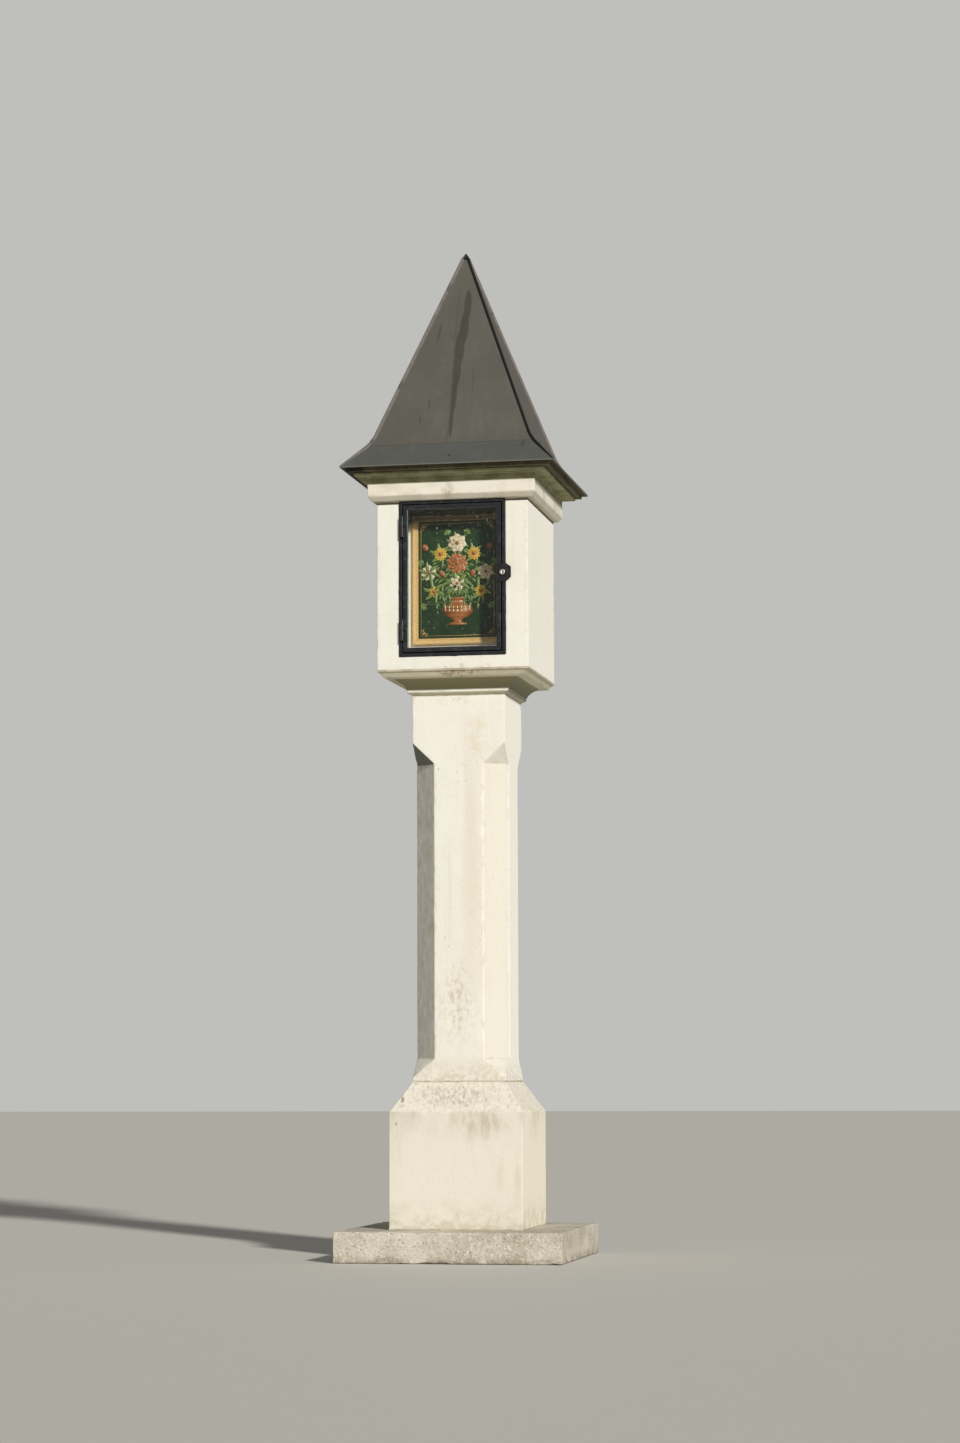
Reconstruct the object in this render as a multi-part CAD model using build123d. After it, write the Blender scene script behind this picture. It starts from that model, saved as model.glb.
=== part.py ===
from build123d import *
import math
import os

# A wayside shrine: a stone pillar with a glazed box niche under a bell-cast sheet metal roof.
# Millimetres, +Z up, front towards -Y. The origin is the middle of the slab's underside.

# Footing slab and base block
SLAB_SIDE = 1030.0
SLAB_HEIGHT = 140.0
BASE_SIDE = 610.0
BASE_WALL_HEIGHT = 522.0
BASE_SLOPE_HEIGHT = 135.0

# Shaft, square at both ends and eight-sided between its chamfer stops
SHAFT_SIDE = 430.0
SHAFT_HEIGHT = 1753.0
CHAMFER = 102.0
FOOT_PLINTH = 16.0
FOOT_STOP = 88.0
HEAD_HEIGHT = 217.0
HEAD_STOP = 97.0

# Corbel under the niche box
CORBEL_BEVEL = 11.0
CORBEL_FILLET = 10.0
CORBEL_FILLET_REACH = 21.0
CORBEL_HOLLOW = 49.0
CORBEL_LIP = 32.0
CORBEL_LIP_REACH = 28.0

# Niche box
BOX_SIDE = 700.0
BOX_HEIGHT = 774.0
NICHE_WIDTH = 490.0
NICHE_DEPTH = 130.0
SILL_HEIGHT = 62.0

# Cornice, heights from its bed upwards and reaches outwards from the box face
DRIP_REACH = 19.0
BEVEL_RISE = 24.0
FASCIA_REACH = 37.0
FASCIA_HEIGHT = 88.0
CROWN_REACH = 91.0
CROWN_HEIGHT = 14.0

# Roof
EAVE_SIDE = 984.0
EAVE_HEM = 4.0
EDGE_THICKNESS = 3.0
FLARE_HEIGHT = 119.5
FLARE_TOP_SIDE = 735.0
FLARE_BEND_RADIUS = 200.0
SPIRE_HEIGHT = 950.0
SPIRE_TIP_SIDE = 6.0
SHEET_DROP = 6.0
LAP_RISE = 1.5
LAP_LENGTH = 7.0
BOARD_THICKNESS = 20.0
BOARD_SETBACK = 25.0
HIP_SEAM_WIDTH = 8.0
HIP_SEAM_RISE = 14.0
HIP_SEAM_SPREAD = 6.0
HIP_SEAM_END = 5.0
CAP_HEIGHT = 12.0

# Glazed steel door
DOOR_GAP = 5.0
FRAME_FACE = 14.0
FRAME_PROUD = 5.0
FRAME_STOP = 13.0
FRAME_STOP_THICKNESS = 6.0
LEAF_FACE = 19.0
LEAF_DEPTH = 30.0
LEAF_PROUD = 10.0
GLASS_THICKNESS = 5.0
GLASS_SETBACK = 8.0
GROOVE_DEPTH = 8.0
GLASS_CLEARANCE = 0.3

# Hinges and lock
KNUCKLE_RADIUS = 8.0
KNUCKLE_CLEARANCE = 1.0
KNUCKLE_HEIGHT = 48.0
KNUCKLE_GAP = 0.5
PIN_RADIUS = 4.0
PIN_CLEARANCE = 0.05
HINGE_PLATE = 4.0
HINGE_INSET = 118.0
LOCK_HEIGHT = 372.0
LOCK_PLATE_TALL = 88.0
LOCK_PLATE_TIP_TALL = 48.0
LOCK_PLATE_THICKNESS = 3.0
LOCK_PLATE_OVERHANG = 28.0
LOCK_RING_RADIUS = 17.0
LOCK_RING_HEIGHT = 3.0
LOCK_KNOB_INSET = 11.0
LOCK_KNOB_RADIUS = 12.5
LOCK_KNOB_HEIGHT = 8.0
LOCK_KNOB_BEVEL = 1.5

# Framed picture on the back of the niche
PICTURE_SIDE_GAP = 35.0
PICTURE_TOP_GAP = 47.0
PICTURE_BOTTOM_GAP = 67.0
PICTURE_BAR = 28.0
PICTURE_BAR_DEPTH = 16.0
PICTURE_EDGE_BEVEL = 4.0
PICTURE_EDGE_WIDTH = 9.0
PICTURE_INNER_SETBACK = 4.0
PICTURE_REBATE = 6.0
PANEL_THICKNESS = 4.0
PANEL_BACK_GAP = 4.0
PANEL_CLEARANCE = 0.3

# Levels worked out from the stones below
BASE_TOP = SLAB_HEIGHT + BASE_WALL_HEIGHT + BASE_SLOPE_HEIGHT
SHAFT_TOP = BASE_TOP + SHAFT_HEIGHT
BOX_BOTTOM = SHAFT_TOP + CORBEL_BEVEL + CORBEL_FILLET + CORBEL_HOLLOW + CORBEL_LIP
BOX_TOP = BOX_BOTTOM + BOX_HEIGHT
BED_TOP = BOX_TOP + BEVEL_RISE + FASCIA_HEIGHT
CROWN_TOP = BED_TOP + CROWN_HEIGHT
EAVE_LEVEL = CROWN_TOP + BOARD_THICKNESS
FLARE_TOP = EAVE_LEVEL + FLARE_HEIGHT
SPIRE_TOP = FLARE_TOP + SPIRE_HEIGHT
CAP_BOTTOM = SPIRE_TOP - CAP_HEIGHT

# Planes of the niche, door and picture
WALL_FACE = -BOX_SIDE / 2
NICHE_BACK = WALL_FACE + NICHE_DEPTH
NICHE_FLOOR = BOX_BOTTOM + SILL_HEIGHT
NICHE_HEIGHT = BOX_TOP - NICHE_FLOOR
DOOR_MIDDLE = (NICHE_FLOOR + BOX_TOP) / 2
FRAME_FRONT = WALL_FACE - FRAME_PROUD
LEAF_FRONT = WALL_FACE - LEAF_PROUD
FRAME_DEPTH = LEAF_FRONT + LEAF_DEPTH + DOOR_GAP + FRAME_STOP_THICKNESS - FRAME_FRONT
LEAF_WIDTH = NICHE_WIDTH - 2 * (FRAME_FACE + DOOR_GAP)
LEAF_HEIGHT = NICHE_HEIGHT - 2 * (FRAME_FACE + DOOR_GAP)
HINGE_X = -NICHE_WIDTH / 2 + FRAME_FACE + DOOR_GAP / 2
HINGE_Y = LEAF_FRONT - KNUCKLE_CLEARANCE - KNUCKLE_RADIUS
PICTURE_WIDTH = NICHE_WIDTH - 2 * PICTURE_SIDE_GAP
PICTURE_HEIGHT = NICHE_HEIGHT - PICTURE_TOP_GAP - PICTURE_BOTTOM_GAP
PICTURE_MIDDLE = NICHE_FLOOR + PICTURE_BOTTOM_GAP + PICTURE_HEIGHT / 2


def block(x_size, y_size, z_size, x=0.0, y=0.0, z=0.0):
    """A straight block that stands on level z, centred on x and y."""
    return Pos(x, y, z) * Box(x_size, y_size, z_size, align=(Align.CENTER, Align.CENTER, Align.MIN))


def rod(radius, height, x=0.0, y=0.0, z=0.0):
    """A round rod that stands on level z."""
    return Pos(x, y, z) * Cylinder(radius, height, align=(Align.CENTER, Align.CENTER, Align.MIN))


def square_moulding(outline):
    """A form that runs round a square. Its outline is drawn as half width against level, from
    the bottom up. It is extruded along both sides of the square, and what both share is kept."""
    edges = list(outline) + [mirror(edge, Plane.YZ) for edge in outline]
    low = outline[0] @ 0
    high = outline[-1] @ 1
    edges.append(Line((-low.X, low.Y), (low.X, low.Y)))
    edges.append(Line((-high.X, high.Y), (high.X, high.Y)))
    run = extrude(Plane.XZ * make_face(edges), amount=EAVE_SIDE, both=True)
    return run & (Rot(0, 0, 90) * run)


def hollow(low, high):
    """The outline of a hollow, steep at its foot and nearly level at its upper edge."""
    share = math.cos(math.radians(45))
    middle = (high[0] - share * (high[0] - low[0]), low[1] + share * (high[1] - low[1]))
    return ThreePointArc(low, middle, high)


def footing_slab():
    return block(SLAB_SIDE, SLAB_SIDE, SLAB_HEIGHT)


def base_block():
    """The square plinth with its weathered top, which slopes up to the foot of the shaft."""
    shoulder = (BASE_SIDE / 2, SLAB_HEIGHT + BASE_WALL_HEIGHT)
    wall = Line((BASE_SIDE / 2, SLAB_HEIGHT), shoulder)
    slope = Line(shoulder, (SHAFT_SIDE / 2, BASE_TOP))
    return square_moulding([wall, slope])


def chamfer_cutter():
    """What the mason takes off one corner: a chamfer that runs out at a sloping stop at each end."""
    corner = SHAFT_SIDE / math.sqrt(2)
    depth = CHAMFER / math.sqrt(2)
    past = 1.5
    low = BASE_TOP + FOOT_PLINTH + FOOT_STOP
    high = SHAFT_TOP - HEAD_HEIGHT - HEAD_STOP
    inner = corner - depth
    outer = inner + depth * past
    section = Polygon(
        (inner, low),
        (inner, high),
        (outer, high + HEAD_STOP * past),
        (outer, low - FOOT_STOP * past),
        align=None,
    )
    return extrude(Plane.XZ * section, amount=2 * CHAMFER, both=True)


def shaft():
    stone = block(SHAFT_SIDE, SHAFT_SIDE, SHAFT_HEIGHT, z=BASE_TOP)
    for quarter in range(4):
        stone -= Rot(0, 0, 45 + 90 * quarter) * chamfer_cutter()
    return stone


def corbel():
    """Bevel, fillet, hollow and lip that spread from the shaft to the niche box."""
    fillet_low = (SHAFT_SIDE / 2 + CORBEL_FILLET_REACH, SHAFT_TOP + CORBEL_BEVEL)
    fillet_high = (fillet_low[0], fillet_low[1] + CORBEL_FILLET)
    lip_low = (BOX_SIDE / 2 - CORBEL_LIP_REACH, BOX_BOTTOM - CORBEL_LIP)
    return square_moulding(
        [
            Line((SHAFT_SIDE / 2, SHAFT_TOP), fillet_low),
            Line(fillet_low, fillet_high),
            hollow(fillet_high, lip_low),
            Line(lip_low, (BOX_SIDE / 2, BOX_BOTTOM)),
        ]
    )


def niche_side_wall(side):
    """The wall beside the niche: -1 is the left one and 1 the right one."""
    thickness = (BOX_SIDE - NICHE_WIDTH) / 2
    x = side * (NICHE_WIDTH + thickness) / 2
    return block(thickness, NICHE_DEPTH, BOX_HEIGHT, x, WALL_FACE + NICHE_DEPTH / 2, BOX_BOTTOM)


def niche_back_wall():
    depth = BOX_SIDE - NICHE_DEPTH
    return block(BOX_SIDE, depth, BOX_HEIGHT, 0, NICHE_BACK + depth / 2, BOX_BOTTOM)


def niche_sill():
    return block(NICHE_WIDTH, NICHE_DEPTH, SILL_HEIGHT, 0, WALL_FACE + NICHE_DEPTH / 2, BOX_BOTTOM)


def cornice_bed():
    """Drip, bevel and a tall fascia. The flat bed closes the niche."""
    half = BOX_SIDE / 2
    fascia_low = (half + FASCIA_REACH, BOX_TOP + BEVEL_RISE)
    bevel = Line((half + DRIP_REACH, BOX_TOP), fascia_low)
    fascia = Line(fascia_low, (fascia_low[0], BED_TOP))
    return square_moulding([bevel, fascia])


def cornice_crown():
    """The flat course under the eave."""
    side = BOX_SIDE + 2 * CROWN_REACH
    return block(side, side, CROWN_HEIGHT, z=BED_TOP)


def bell_form(eave, bend, tip):
    """A form that flares out at its foot. Each of its three points is a half width and a level."""
    outline = FilletPolyline(eave, bend, tip, radius=FLARE_BEND_RADIUS)
    return square_moulding(outline.edges().sort_by(Axis.Y))


def roof_form(lift=0.0):
    """The outer form of the roof, moved up by lift."""
    return bell_form(
        (EAVE_SIDE / 2, EAVE_LEVEL + lift),
        (FLARE_TOP_SIDE / 2, FLARE_TOP + lift),
        (SPIRE_TIP_SIDE / 2, SPIRE_TOP + lift),
    )


def quarter_wedge(quarter):
    """One quarter of the plan: 0 is the front, then right, back and left."""
    reach = EAVE_SIDE
    plan = Polygon((0, 0), (-reach, -reach), (reach, -reach), align=None)
    return Rot(0, 0, 90 * quarter) * extrude(plan, amount=SPIRE_TOP + reach)


def roof_slice(low, high):
    """All the roof between two levels."""
    return block(EAVE_SIDE, EAVE_SIDE, high - low, z=low)


def flare_skin():
    """The lower sheet with the small hem at its edge, before it is cut into its quarters."""
    inner_side = EAVE_SIDE - 2 * EDGE_THICKNESS
    low = EAVE_LEVEL - EAVE_HEM
    hem = roof_slice(low, EAVE_LEVEL) - block(inner_side, inner_side, EAVE_HEM, z=low)
    sheet = (roof_form() - roof_form(-SHEET_DROP)) & roof_slice(EAVE_LEVEL, FLARE_TOP)
    return sheet + hem


def spire_skin():
    """The steep sheet, which laps over the top of the flare."""
    sheet = (roof_form(LAP_RISE) - roof_form(-SHEET_DROP)) & roof_slice(FLARE_TOP, SPIRE_TOP)
    lap = (roof_form(LAP_RISE) - roof_form()) & roof_slice(FLARE_TOP - LAP_LENGTH, FLARE_TOP)
    return sheet + lap


def seam_cover():
    """The layer above the sheets, thinner at the eave. A band of it makes a hip seam, its top the cap."""
    spire = roof_form(LAP_RISE) & roof_slice(FLARE_TOP - LAP_LENGTH, SPIRE_TOP)
    outer = bell_form(
        (EAVE_SIDE / 2, EAVE_LEVEL + HIP_SEAM_END),
        (FLARE_TOP_SIDE / 2 + HIP_SEAM_SPREAD, FLARE_TOP + HIP_SEAM_RISE),
        (SPIRE_TIP_SIDE / 2 + HIP_SEAM_SPREAD, SPIRE_TOP + HIP_SEAM_RISE),
    )
    eave = roof_slice(EAVE_LEVEL, EAVE_LEVEL + HIP_SEAM_END)
    return outer + eave - roof_form() - spire


def hip_seam(cover, quarter):
    """The standing seam along the hip between two sheets: 0 is the front right hip."""
    band = block(EAVE_SIDE, HIP_SEAM_WIDTH, CAP_BOTTOM - EAVE_LEVEL, EAVE_SIDE / 2, 0, EAVE_LEVEL)
    return cover & (Rot(0, 0, -45 + 90 * quarter) * band)


def apex_cap(cover):
    return cover & roof_slice(CAP_BOTTOM, SPIRE_TOP + HIP_SEAM_RISE)


def eave_board():
    """The board under the sheets, set back from their edge."""
    side = EAVE_SIDE - 2 * BOARD_SETBACK
    return block(side, side, BOARD_THICKNESS, z=CROWN_TOP)


def roof_core():
    """The boarded core under the sheets, from the eave board up."""
    return roof_form(-SHEET_DROP) & roof_slice(EAVE_LEVEL, SPIRE_TOP)


def mitred_bar(outline, length, width):
    """A bar along X with both ends mitred. Its outline is drawn as inward against backward."""
    section = Polygon(*[(backward, inward) for inward, backward in outline], align=None)
    half = length / 2
    bar = extrude(Plane.YZ * section, amount=half, both=True)
    mitre = Polygon((-half, 0), (half, 0), (half - width, width), (width - half, width), align=None)
    return bar & extrude(Plane.XZ * mitre, amount=length, both=True)


def frame_of_bars(outline, width, height, face, middle, front):
    """The four mitred bars of an upright rectangular frame, by the names of its sides."""
    level = mitred_bar(outline, width, face)
    upright = mitred_bar(outline, height, face)
    return {
        "bottom": Pos(0, front, middle - height / 2) * level,
        "top": Pos(0, front, middle + height / 2) * Rot(0, 180, 0) * level,
        "left": Pos(-width / 2, front, middle) * Rot(0, 90, 0) * upright,
        "right": Pos(width / 2, front, middle) * Rot(0, -90, 0) * upright,
    }


def door_frame_bars():
    """The fixed frame in the niche's mouth, with a stop behind the leaf."""
    stop = FRAME_FACE + FRAME_STOP
    stop_front = FRAME_DEPTH - FRAME_STOP_THICKNESS
    outline = (
        (0, 0),
        (FRAME_FACE, 0),
        (FRAME_FACE, stop_front),
        (stop, stop_front),
        (stop, FRAME_DEPTH),
        (0, FRAME_DEPTH),
    )
    return frame_of_bars(outline, NICHE_WIDTH, NICHE_HEIGHT, stop, DOOR_MIDDLE, FRAME_FRONT)


def leaf_bars():
    """The stiles and rails of the leaf, grooved for the glass."""
    groove = LEAF_FACE - GROOVE_DEPTH
    glass_back = GLASS_SETBACK + GLASS_THICKNESS + 2 * GLASS_CLEARANCE
    outline = (
        (0, 0),
        (LEAF_FACE, 0),
        (LEAF_FACE, GLASS_SETBACK),
        (groove, GLASS_SETBACK),
        (groove, glass_back),
        (LEAF_FACE, glass_back),
        (LEAF_FACE, LEAF_DEPTH),
        (0, LEAF_DEPTH),
    )
    return frame_of_bars(outline, LEAF_WIDTH, LEAF_HEIGHT, LEAF_FACE, DOOR_MIDDLE, LEAF_FRONT)


def glass_pane():
    inset = 2 * (LEAF_FACE - GROOVE_DEPTH + GLASS_CLEARANCE)
    low = DOOR_MIDDLE - (LEAF_HEIGHT - inset) / 2
    y = LEAF_FRONT + GLASS_SETBACK + GLASS_CLEARANCE + GLASS_THICKNESS / 2
    return block(LEAF_WIDTH - inset, GLASS_THICKNESS, LEAF_HEIGHT - inset, 0, y, low)


def hinge_fixed_half(middle):
    """The lower knuckle with its pin, on a strap that is welded to the fixed frame."""
    low = middle - KNUCKLE_HEIGHT
    knuckle = rod(KNUCKLE_RADIUS, KNUCKLE_HEIGHT, HINGE_X, HINGE_Y, low)
    pin = rod(PIN_RADIUS, 2 * KNUCKLE_HEIGHT, HINGE_X, HINGE_Y, low)
    strap_x = (FRAME_FACE - NICHE_WIDTH) / 2
    strap = block(FRAME_FACE, HINGE_PLATE, KNUCKLE_HEIGHT, strap_x, FRAME_FRONT - HINGE_PLATE / 2, low)
    web_depth = FRAME_FRONT - HINGE_Y
    web_x = FRAME_FACE - (NICHE_WIDTH + HINGE_PLATE) / 2
    web = block(HINGE_PLATE, web_depth, KNUCKLE_HEIGHT, web_x, FRAME_FRONT - web_depth / 2, low)
    return knuckle + pin + strap + web


def hinge_leaf_half(middle):
    """The upper knuckle, bored for the pin, on a strap that is welded to the leaf."""
    low = middle + KNUCKLE_GAP
    height = KNUCKLE_HEIGHT - KNUCKLE_GAP
    knuckle = rod(KNUCKLE_RADIUS, height, HINGE_X, HINGE_Y, low)
    strap_x = (LEAF_FACE - LEAF_WIDTH) / 2
    strap = block(LEAF_FACE, HINGE_PLATE, height, strap_x, LEAF_FRONT - HINGE_PLATE / 2, low)
    bore = rod(PIN_RADIUS + PIN_CLEARANCE, height, HINGE_X, HINGE_Y, low)
    return knuckle + strap - bore


def lock_plate():
    """The six-sided plate that reaches from the leaf over the frame to the wall."""
    inner = LEAF_WIDTH / 2 - LEAF_FACE
    shoulder = NICHE_WIDTH / 2
    tip = shoulder + LOCK_PLATE_OVERHANG
    half = LOCK_PLATE_TALL / 2
    end = LOCK_PLATE_TIP_TALL / 2
    plan = Polygon(
        (inner, -half),
        (shoulder, -half),
        (tip, -end),
        (tip, end),
        (shoulder, half),
        (inner, half),
        align=None,
    )
    plate = extrude(Plane.XZ * plan, amount=LOCK_PLATE_THICKNESS)
    return Pos(0, LEAF_FRONT, NICHE_FLOOR + LOCK_HEIGHT) * plate


def lock_knob():
    """The round lock with its ring, turned in one."""
    x = NICHE_WIDTH / 2 - LOCK_KNOB_INSET
    ring = rod(LOCK_RING_RADIUS, LOCK_RING_HEIGHT)
    knob = rod(LOCK_KNOB_RADIUS, LOCK_KNOB_HEIGHT)
    knob = chamfer(knob.edges().group_by(Axis.Z)[-1], LOCK_KNOB_BEVEL)
    turned = Rot(90, 0, 0) * (ring + knob)
    return Pos(x, LEAF_FRONT - LOCK_PLATE_THICKNESS, NICHE_FLOOR + LOCK_HEIGHT) * turned


def picture_frame():
    """The moulded gilt frame: a raised outer edge, a hollow and a rebate for the panel behind."""
    rebate_front = PICTURE_BAR_DEPTH - PANEL_BACK_GAP - PANEL_THICKNESS - PANEL_CLEARANCE
    inner = PICTURE_BAR - PICTURE_REBATE
    outline = (
        (0, PICTURE_EDGE_BEVEL),
        (PICTURE_EDGE_BEVEL, 0),
        (PICTURE_EDGE_WIDTH, 0),
        (inner, PICTURE_INNER_SETBACK),
        (PICTURE_BAR, PICTURE_INNER_SETBACK),
        (PICTURE_BAR, rebate_front),
        (inner, rebate_front),
        (inner, PICTURE_BAR_DEPTH),
        (0, PICTURE_BAR_DEPTH),
    )
    front = NICHE_BACK - PICTURE_BAR_DEPTH
    bars = frame_of_bars(outline, PICTURE_WIDTH, PICTURE_HEIGHT, PICTURE_BAR, PICTURE_MIDDLE, front)
    return bars["left"] + bars["top"] + bars["right"] + bars["bottom"]


def picture_panel():
    inset = 2 * (PICTURE_BAR - PICTURE_REBATE + PANEL_CLEARANCE)
    height = PICTURE_HEIGHT - inset
    y = NICHE_BACK - PANEL_BACK_GAP - PANEL_THICKNESS / 2
    return block(PICTURE_WIDTH - inset, PANEL_THICKNESS, height, 0, y, PICTURE_MIDDLE - height / 2)


def build_all():
    nodes = {
        "footing_slab": footing_slab(),
        "base_block": base_block(),
        "shaft": shaft(),
        "corbel": corbel(),
        "niche_sill": niche_sill(),
        "niche_left_wall": niche_side_wall(-1),
        "niche_right_wall": niche_side_wall(1),
        "niche_back_wall": niche_back_wall(),
        "cornice_bed": cornice_bed(),
        "cornice_crown": cornice_crown(),
        "eave_board": eave_board(),
        "roof_core": roof_core(),
    }
    flare = flare_skin()
    spire = spire_skin()
    for quarter, side in enumerate(("front", "right", "back", "left")):
        nodes[side + "_flare_sheet"] = flare & quarter_wedge(quarter)
        nodes[side + "_spire_sheet"] = spire & quarter_wedge(quarter)
    cover = seam_cover()
    for quarter, hip in enumerate(("front_right", "back_right", "back_left", "front_left")):
        nodes[hip + "_hip_seam"] = hip_seam(cover, quarter)
    nodes["apex_cap"] = apex_cap(cover)
    for side, bar in door_frame_bars().items():
        nodes["door_frame_" + side] = bar
    leaf_names = {"left": "hinge_stile", "right": "lock_stile", "top": "top_rail", "bottom": "bottom_rail"}
    for side, bar in leaf_bars().items():
        nodes["leaf_" + leaf_names[side]] = bar
    nodes["glass_pane"] = glass_pane()
    hinge_levels = {"lower": NICHE_FLOOR + HINGE_INSET, "upper": BOX_TOP - HINGE_INSET}
    for name, level in hinge_levels.items():
        nodes[name + "_hinge_pin_half"] = hinge_fixed_half(level)
        nodes[name + "_hinge_leaf_half"] = hinge_leaf_half(level)
    nodes["lock_plate"] = lock_plate()
    nodes["lock_knob"] = lock_knob()
    nodes["picture_frame"] = picture_frame()
    nodes["picture_panel"] = picture_panel()
    return nodes


os.makedirs("parts", exist_ok=True)
for name, solid in build_all().items():
    export_step(solid, os.path.join("parts", name + ".step"))
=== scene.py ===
import math

import bmesh
import bpy
import numpy as np
from mathutils import Matrix, Vector, noise
from mathutils.bvhtree import BVHTree


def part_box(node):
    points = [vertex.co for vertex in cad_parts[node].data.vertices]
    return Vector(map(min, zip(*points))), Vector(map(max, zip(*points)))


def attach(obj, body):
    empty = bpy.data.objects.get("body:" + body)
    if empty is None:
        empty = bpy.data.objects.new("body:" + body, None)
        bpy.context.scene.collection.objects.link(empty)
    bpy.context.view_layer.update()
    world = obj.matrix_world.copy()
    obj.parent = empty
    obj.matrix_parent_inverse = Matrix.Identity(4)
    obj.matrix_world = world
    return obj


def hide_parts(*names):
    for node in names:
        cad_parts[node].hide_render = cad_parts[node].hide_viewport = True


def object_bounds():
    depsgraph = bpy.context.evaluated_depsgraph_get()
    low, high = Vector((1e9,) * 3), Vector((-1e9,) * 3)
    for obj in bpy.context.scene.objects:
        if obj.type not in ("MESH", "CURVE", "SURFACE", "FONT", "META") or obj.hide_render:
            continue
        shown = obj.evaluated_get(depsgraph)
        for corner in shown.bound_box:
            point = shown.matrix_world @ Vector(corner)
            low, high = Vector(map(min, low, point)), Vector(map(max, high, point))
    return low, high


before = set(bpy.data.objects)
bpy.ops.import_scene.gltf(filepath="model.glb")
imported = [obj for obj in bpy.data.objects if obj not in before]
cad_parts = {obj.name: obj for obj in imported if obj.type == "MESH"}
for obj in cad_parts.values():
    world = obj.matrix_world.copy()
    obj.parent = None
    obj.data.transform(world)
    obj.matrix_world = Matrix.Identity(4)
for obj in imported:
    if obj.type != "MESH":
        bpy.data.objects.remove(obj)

bl_info = {
    "name": "Wayside shrine finish",
    "version": (1, 0, 0),
    "blender": (4, 5, 0),
    "location": "View3D > Sidebar > Shrine",
    "description": "Dresses the stones, roof, door and picture of a pillar shrine",
    "category": "Object",
}

# The whole CAD model's box, and the boxes of the nodes that pieces and stains are placed by, in metres
CAD_LOW, CAD_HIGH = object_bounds()
BASE_LOW, BASE_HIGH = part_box("base_block")
SHAFT_LOW, SHAFT_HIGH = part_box("shaft")
CORBEL_LOW, CORBEL_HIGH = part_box("corbel")
BED_LOW, BED_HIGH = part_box("cornice_bed")
BACK_LOW, BACK_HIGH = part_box("niche_back_wall")
LEFT_LOW, LEFT_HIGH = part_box("niche_left_wall")
RIGHT_LOW, RIGHT_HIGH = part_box("niche_right_wall")
SILL_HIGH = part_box("niche_sill")[1]
BOARD_LOW, BOARD_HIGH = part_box("eave_board")
FLARE_LOW, FLARE_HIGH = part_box("front_flare_sheet")
SPIRE_LOW, SPIRE_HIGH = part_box("front_spire_sheet")
RAIL_LOW, RAIL_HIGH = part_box("leaf_bottom_rail")
TOP_RAIL_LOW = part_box("leaf_top_rail")[0]
PANE_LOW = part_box("glass_pane")[0]
PANEL_LOW, PANEL_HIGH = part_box("picture_panel")
GILT_LOW, GILT_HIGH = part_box("picture_frame")
KNOB_LOW, KNOB_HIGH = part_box("lock_knob")

MM = 0.001
# Vertices nearer than this are one
WELD = 0.02 * MM
# Up to which angle two faces are one, and from which their edge is an arris or stays a crease
FLAT, SHARP, CREASE = (math.radians(degrees) for degrees in (0.4, 25, 40))
FIXED, SWUNG = "shrine", "door"
SIDES = ("front", "right", "back", "left")
HIPS = ("front_right", "back_right", "back_left", "front_left")
SHOULDER = BASE_HIGH.z - (BASE_HIGH.z - BASE_LOW.z) * 0.205
LIP = CORBEL_HIGH.z - 32 * MM
FASCIA = (BED_LOW.z + BED_HIGH.z) / 2
# The width that the picture is designed in, how far each stroke lies over the last, and their coat
DESIGN_WIDTH, STROKE_STEP, COAT = 422 * MM, 0.004 * MM, 0.12 * MM
# Faces nearer than TOUCH that look opposite ways are where two solids meet
TOUCH, OPPOSITE = 5 * WELD, -0.99
MITRE = math.sqrt(2)
TURNS = [Matrix.Rotation(math.pi / 2 * quarter, 4, "Z") for quarter in range(len(SIDES))]
# How many times a metre the waves and chips of a stone come, how much the fine chips count, how much of
# an arris stays whole, how steep the chips are, and how far apart in metres two seeds' patterns lie
WAVES, CHIPS, FINE_CHIPS = 5.0, 23.0, 61.0
FINE_SHARE, WHOLE, STEEP = 0.35, 0.22, 2.2
SEED_STEPS = (7.3, 3.1, 5.7)
# The same for the buckles of the roof sheets, and how far from the seams they are full
BUCKLES_ACROSS, BUCKLES_UP, BUCKLE_STEP, BUCKLE_FADE = 6, 3.5, 9.1, 0.05
HINGE_ROUNDING, PLATE_ROUNDING, KNOB_ROUNDING, GILT_ROUNDING = 0.6 * MM, 0.8 * MM, 0.5 * MM, 1.0 * MM
SEAM_WEAR, GILT_WEAR = 3 * MM, 4 * MM
FOLD_STATIONS = 12
# The gold line of the picture: how far in it lies, and half its width
MARGIN, LINE = 20 * MM, 1.2 * MM
SENSOR_WIDTH, CLIP_END = 36.0, 200.0


def linear(hex_colour):
    """An sRGB colour such as "#ece7dc" as linear red, green, blue and alpha."""
    parts = [int(hex_colour[at:at + 2], 16) / 255 for at in (1, 3, 5)]
    return [c / 12.92 if c <= 0.04045 else ((c + 0.055) / 1.055) ** 2.4 for c in parts] + [1.0]


def add(tree, kind, inputs=None, **settings):
    """Adds a node with its settings, and sets or links its inputs by name or number."""
    made = tree.nodes.new(kind)
    for key, value in settings.items():
        setattr(made, key, value)
    for key, value in (inputs or {}).items():
        if isinstance(value, bpy.types.NodeSocket):
            tree.links.new(value, made.inputs[key])
        else:
            made.inputs[key].default_value = value
    return made


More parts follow.
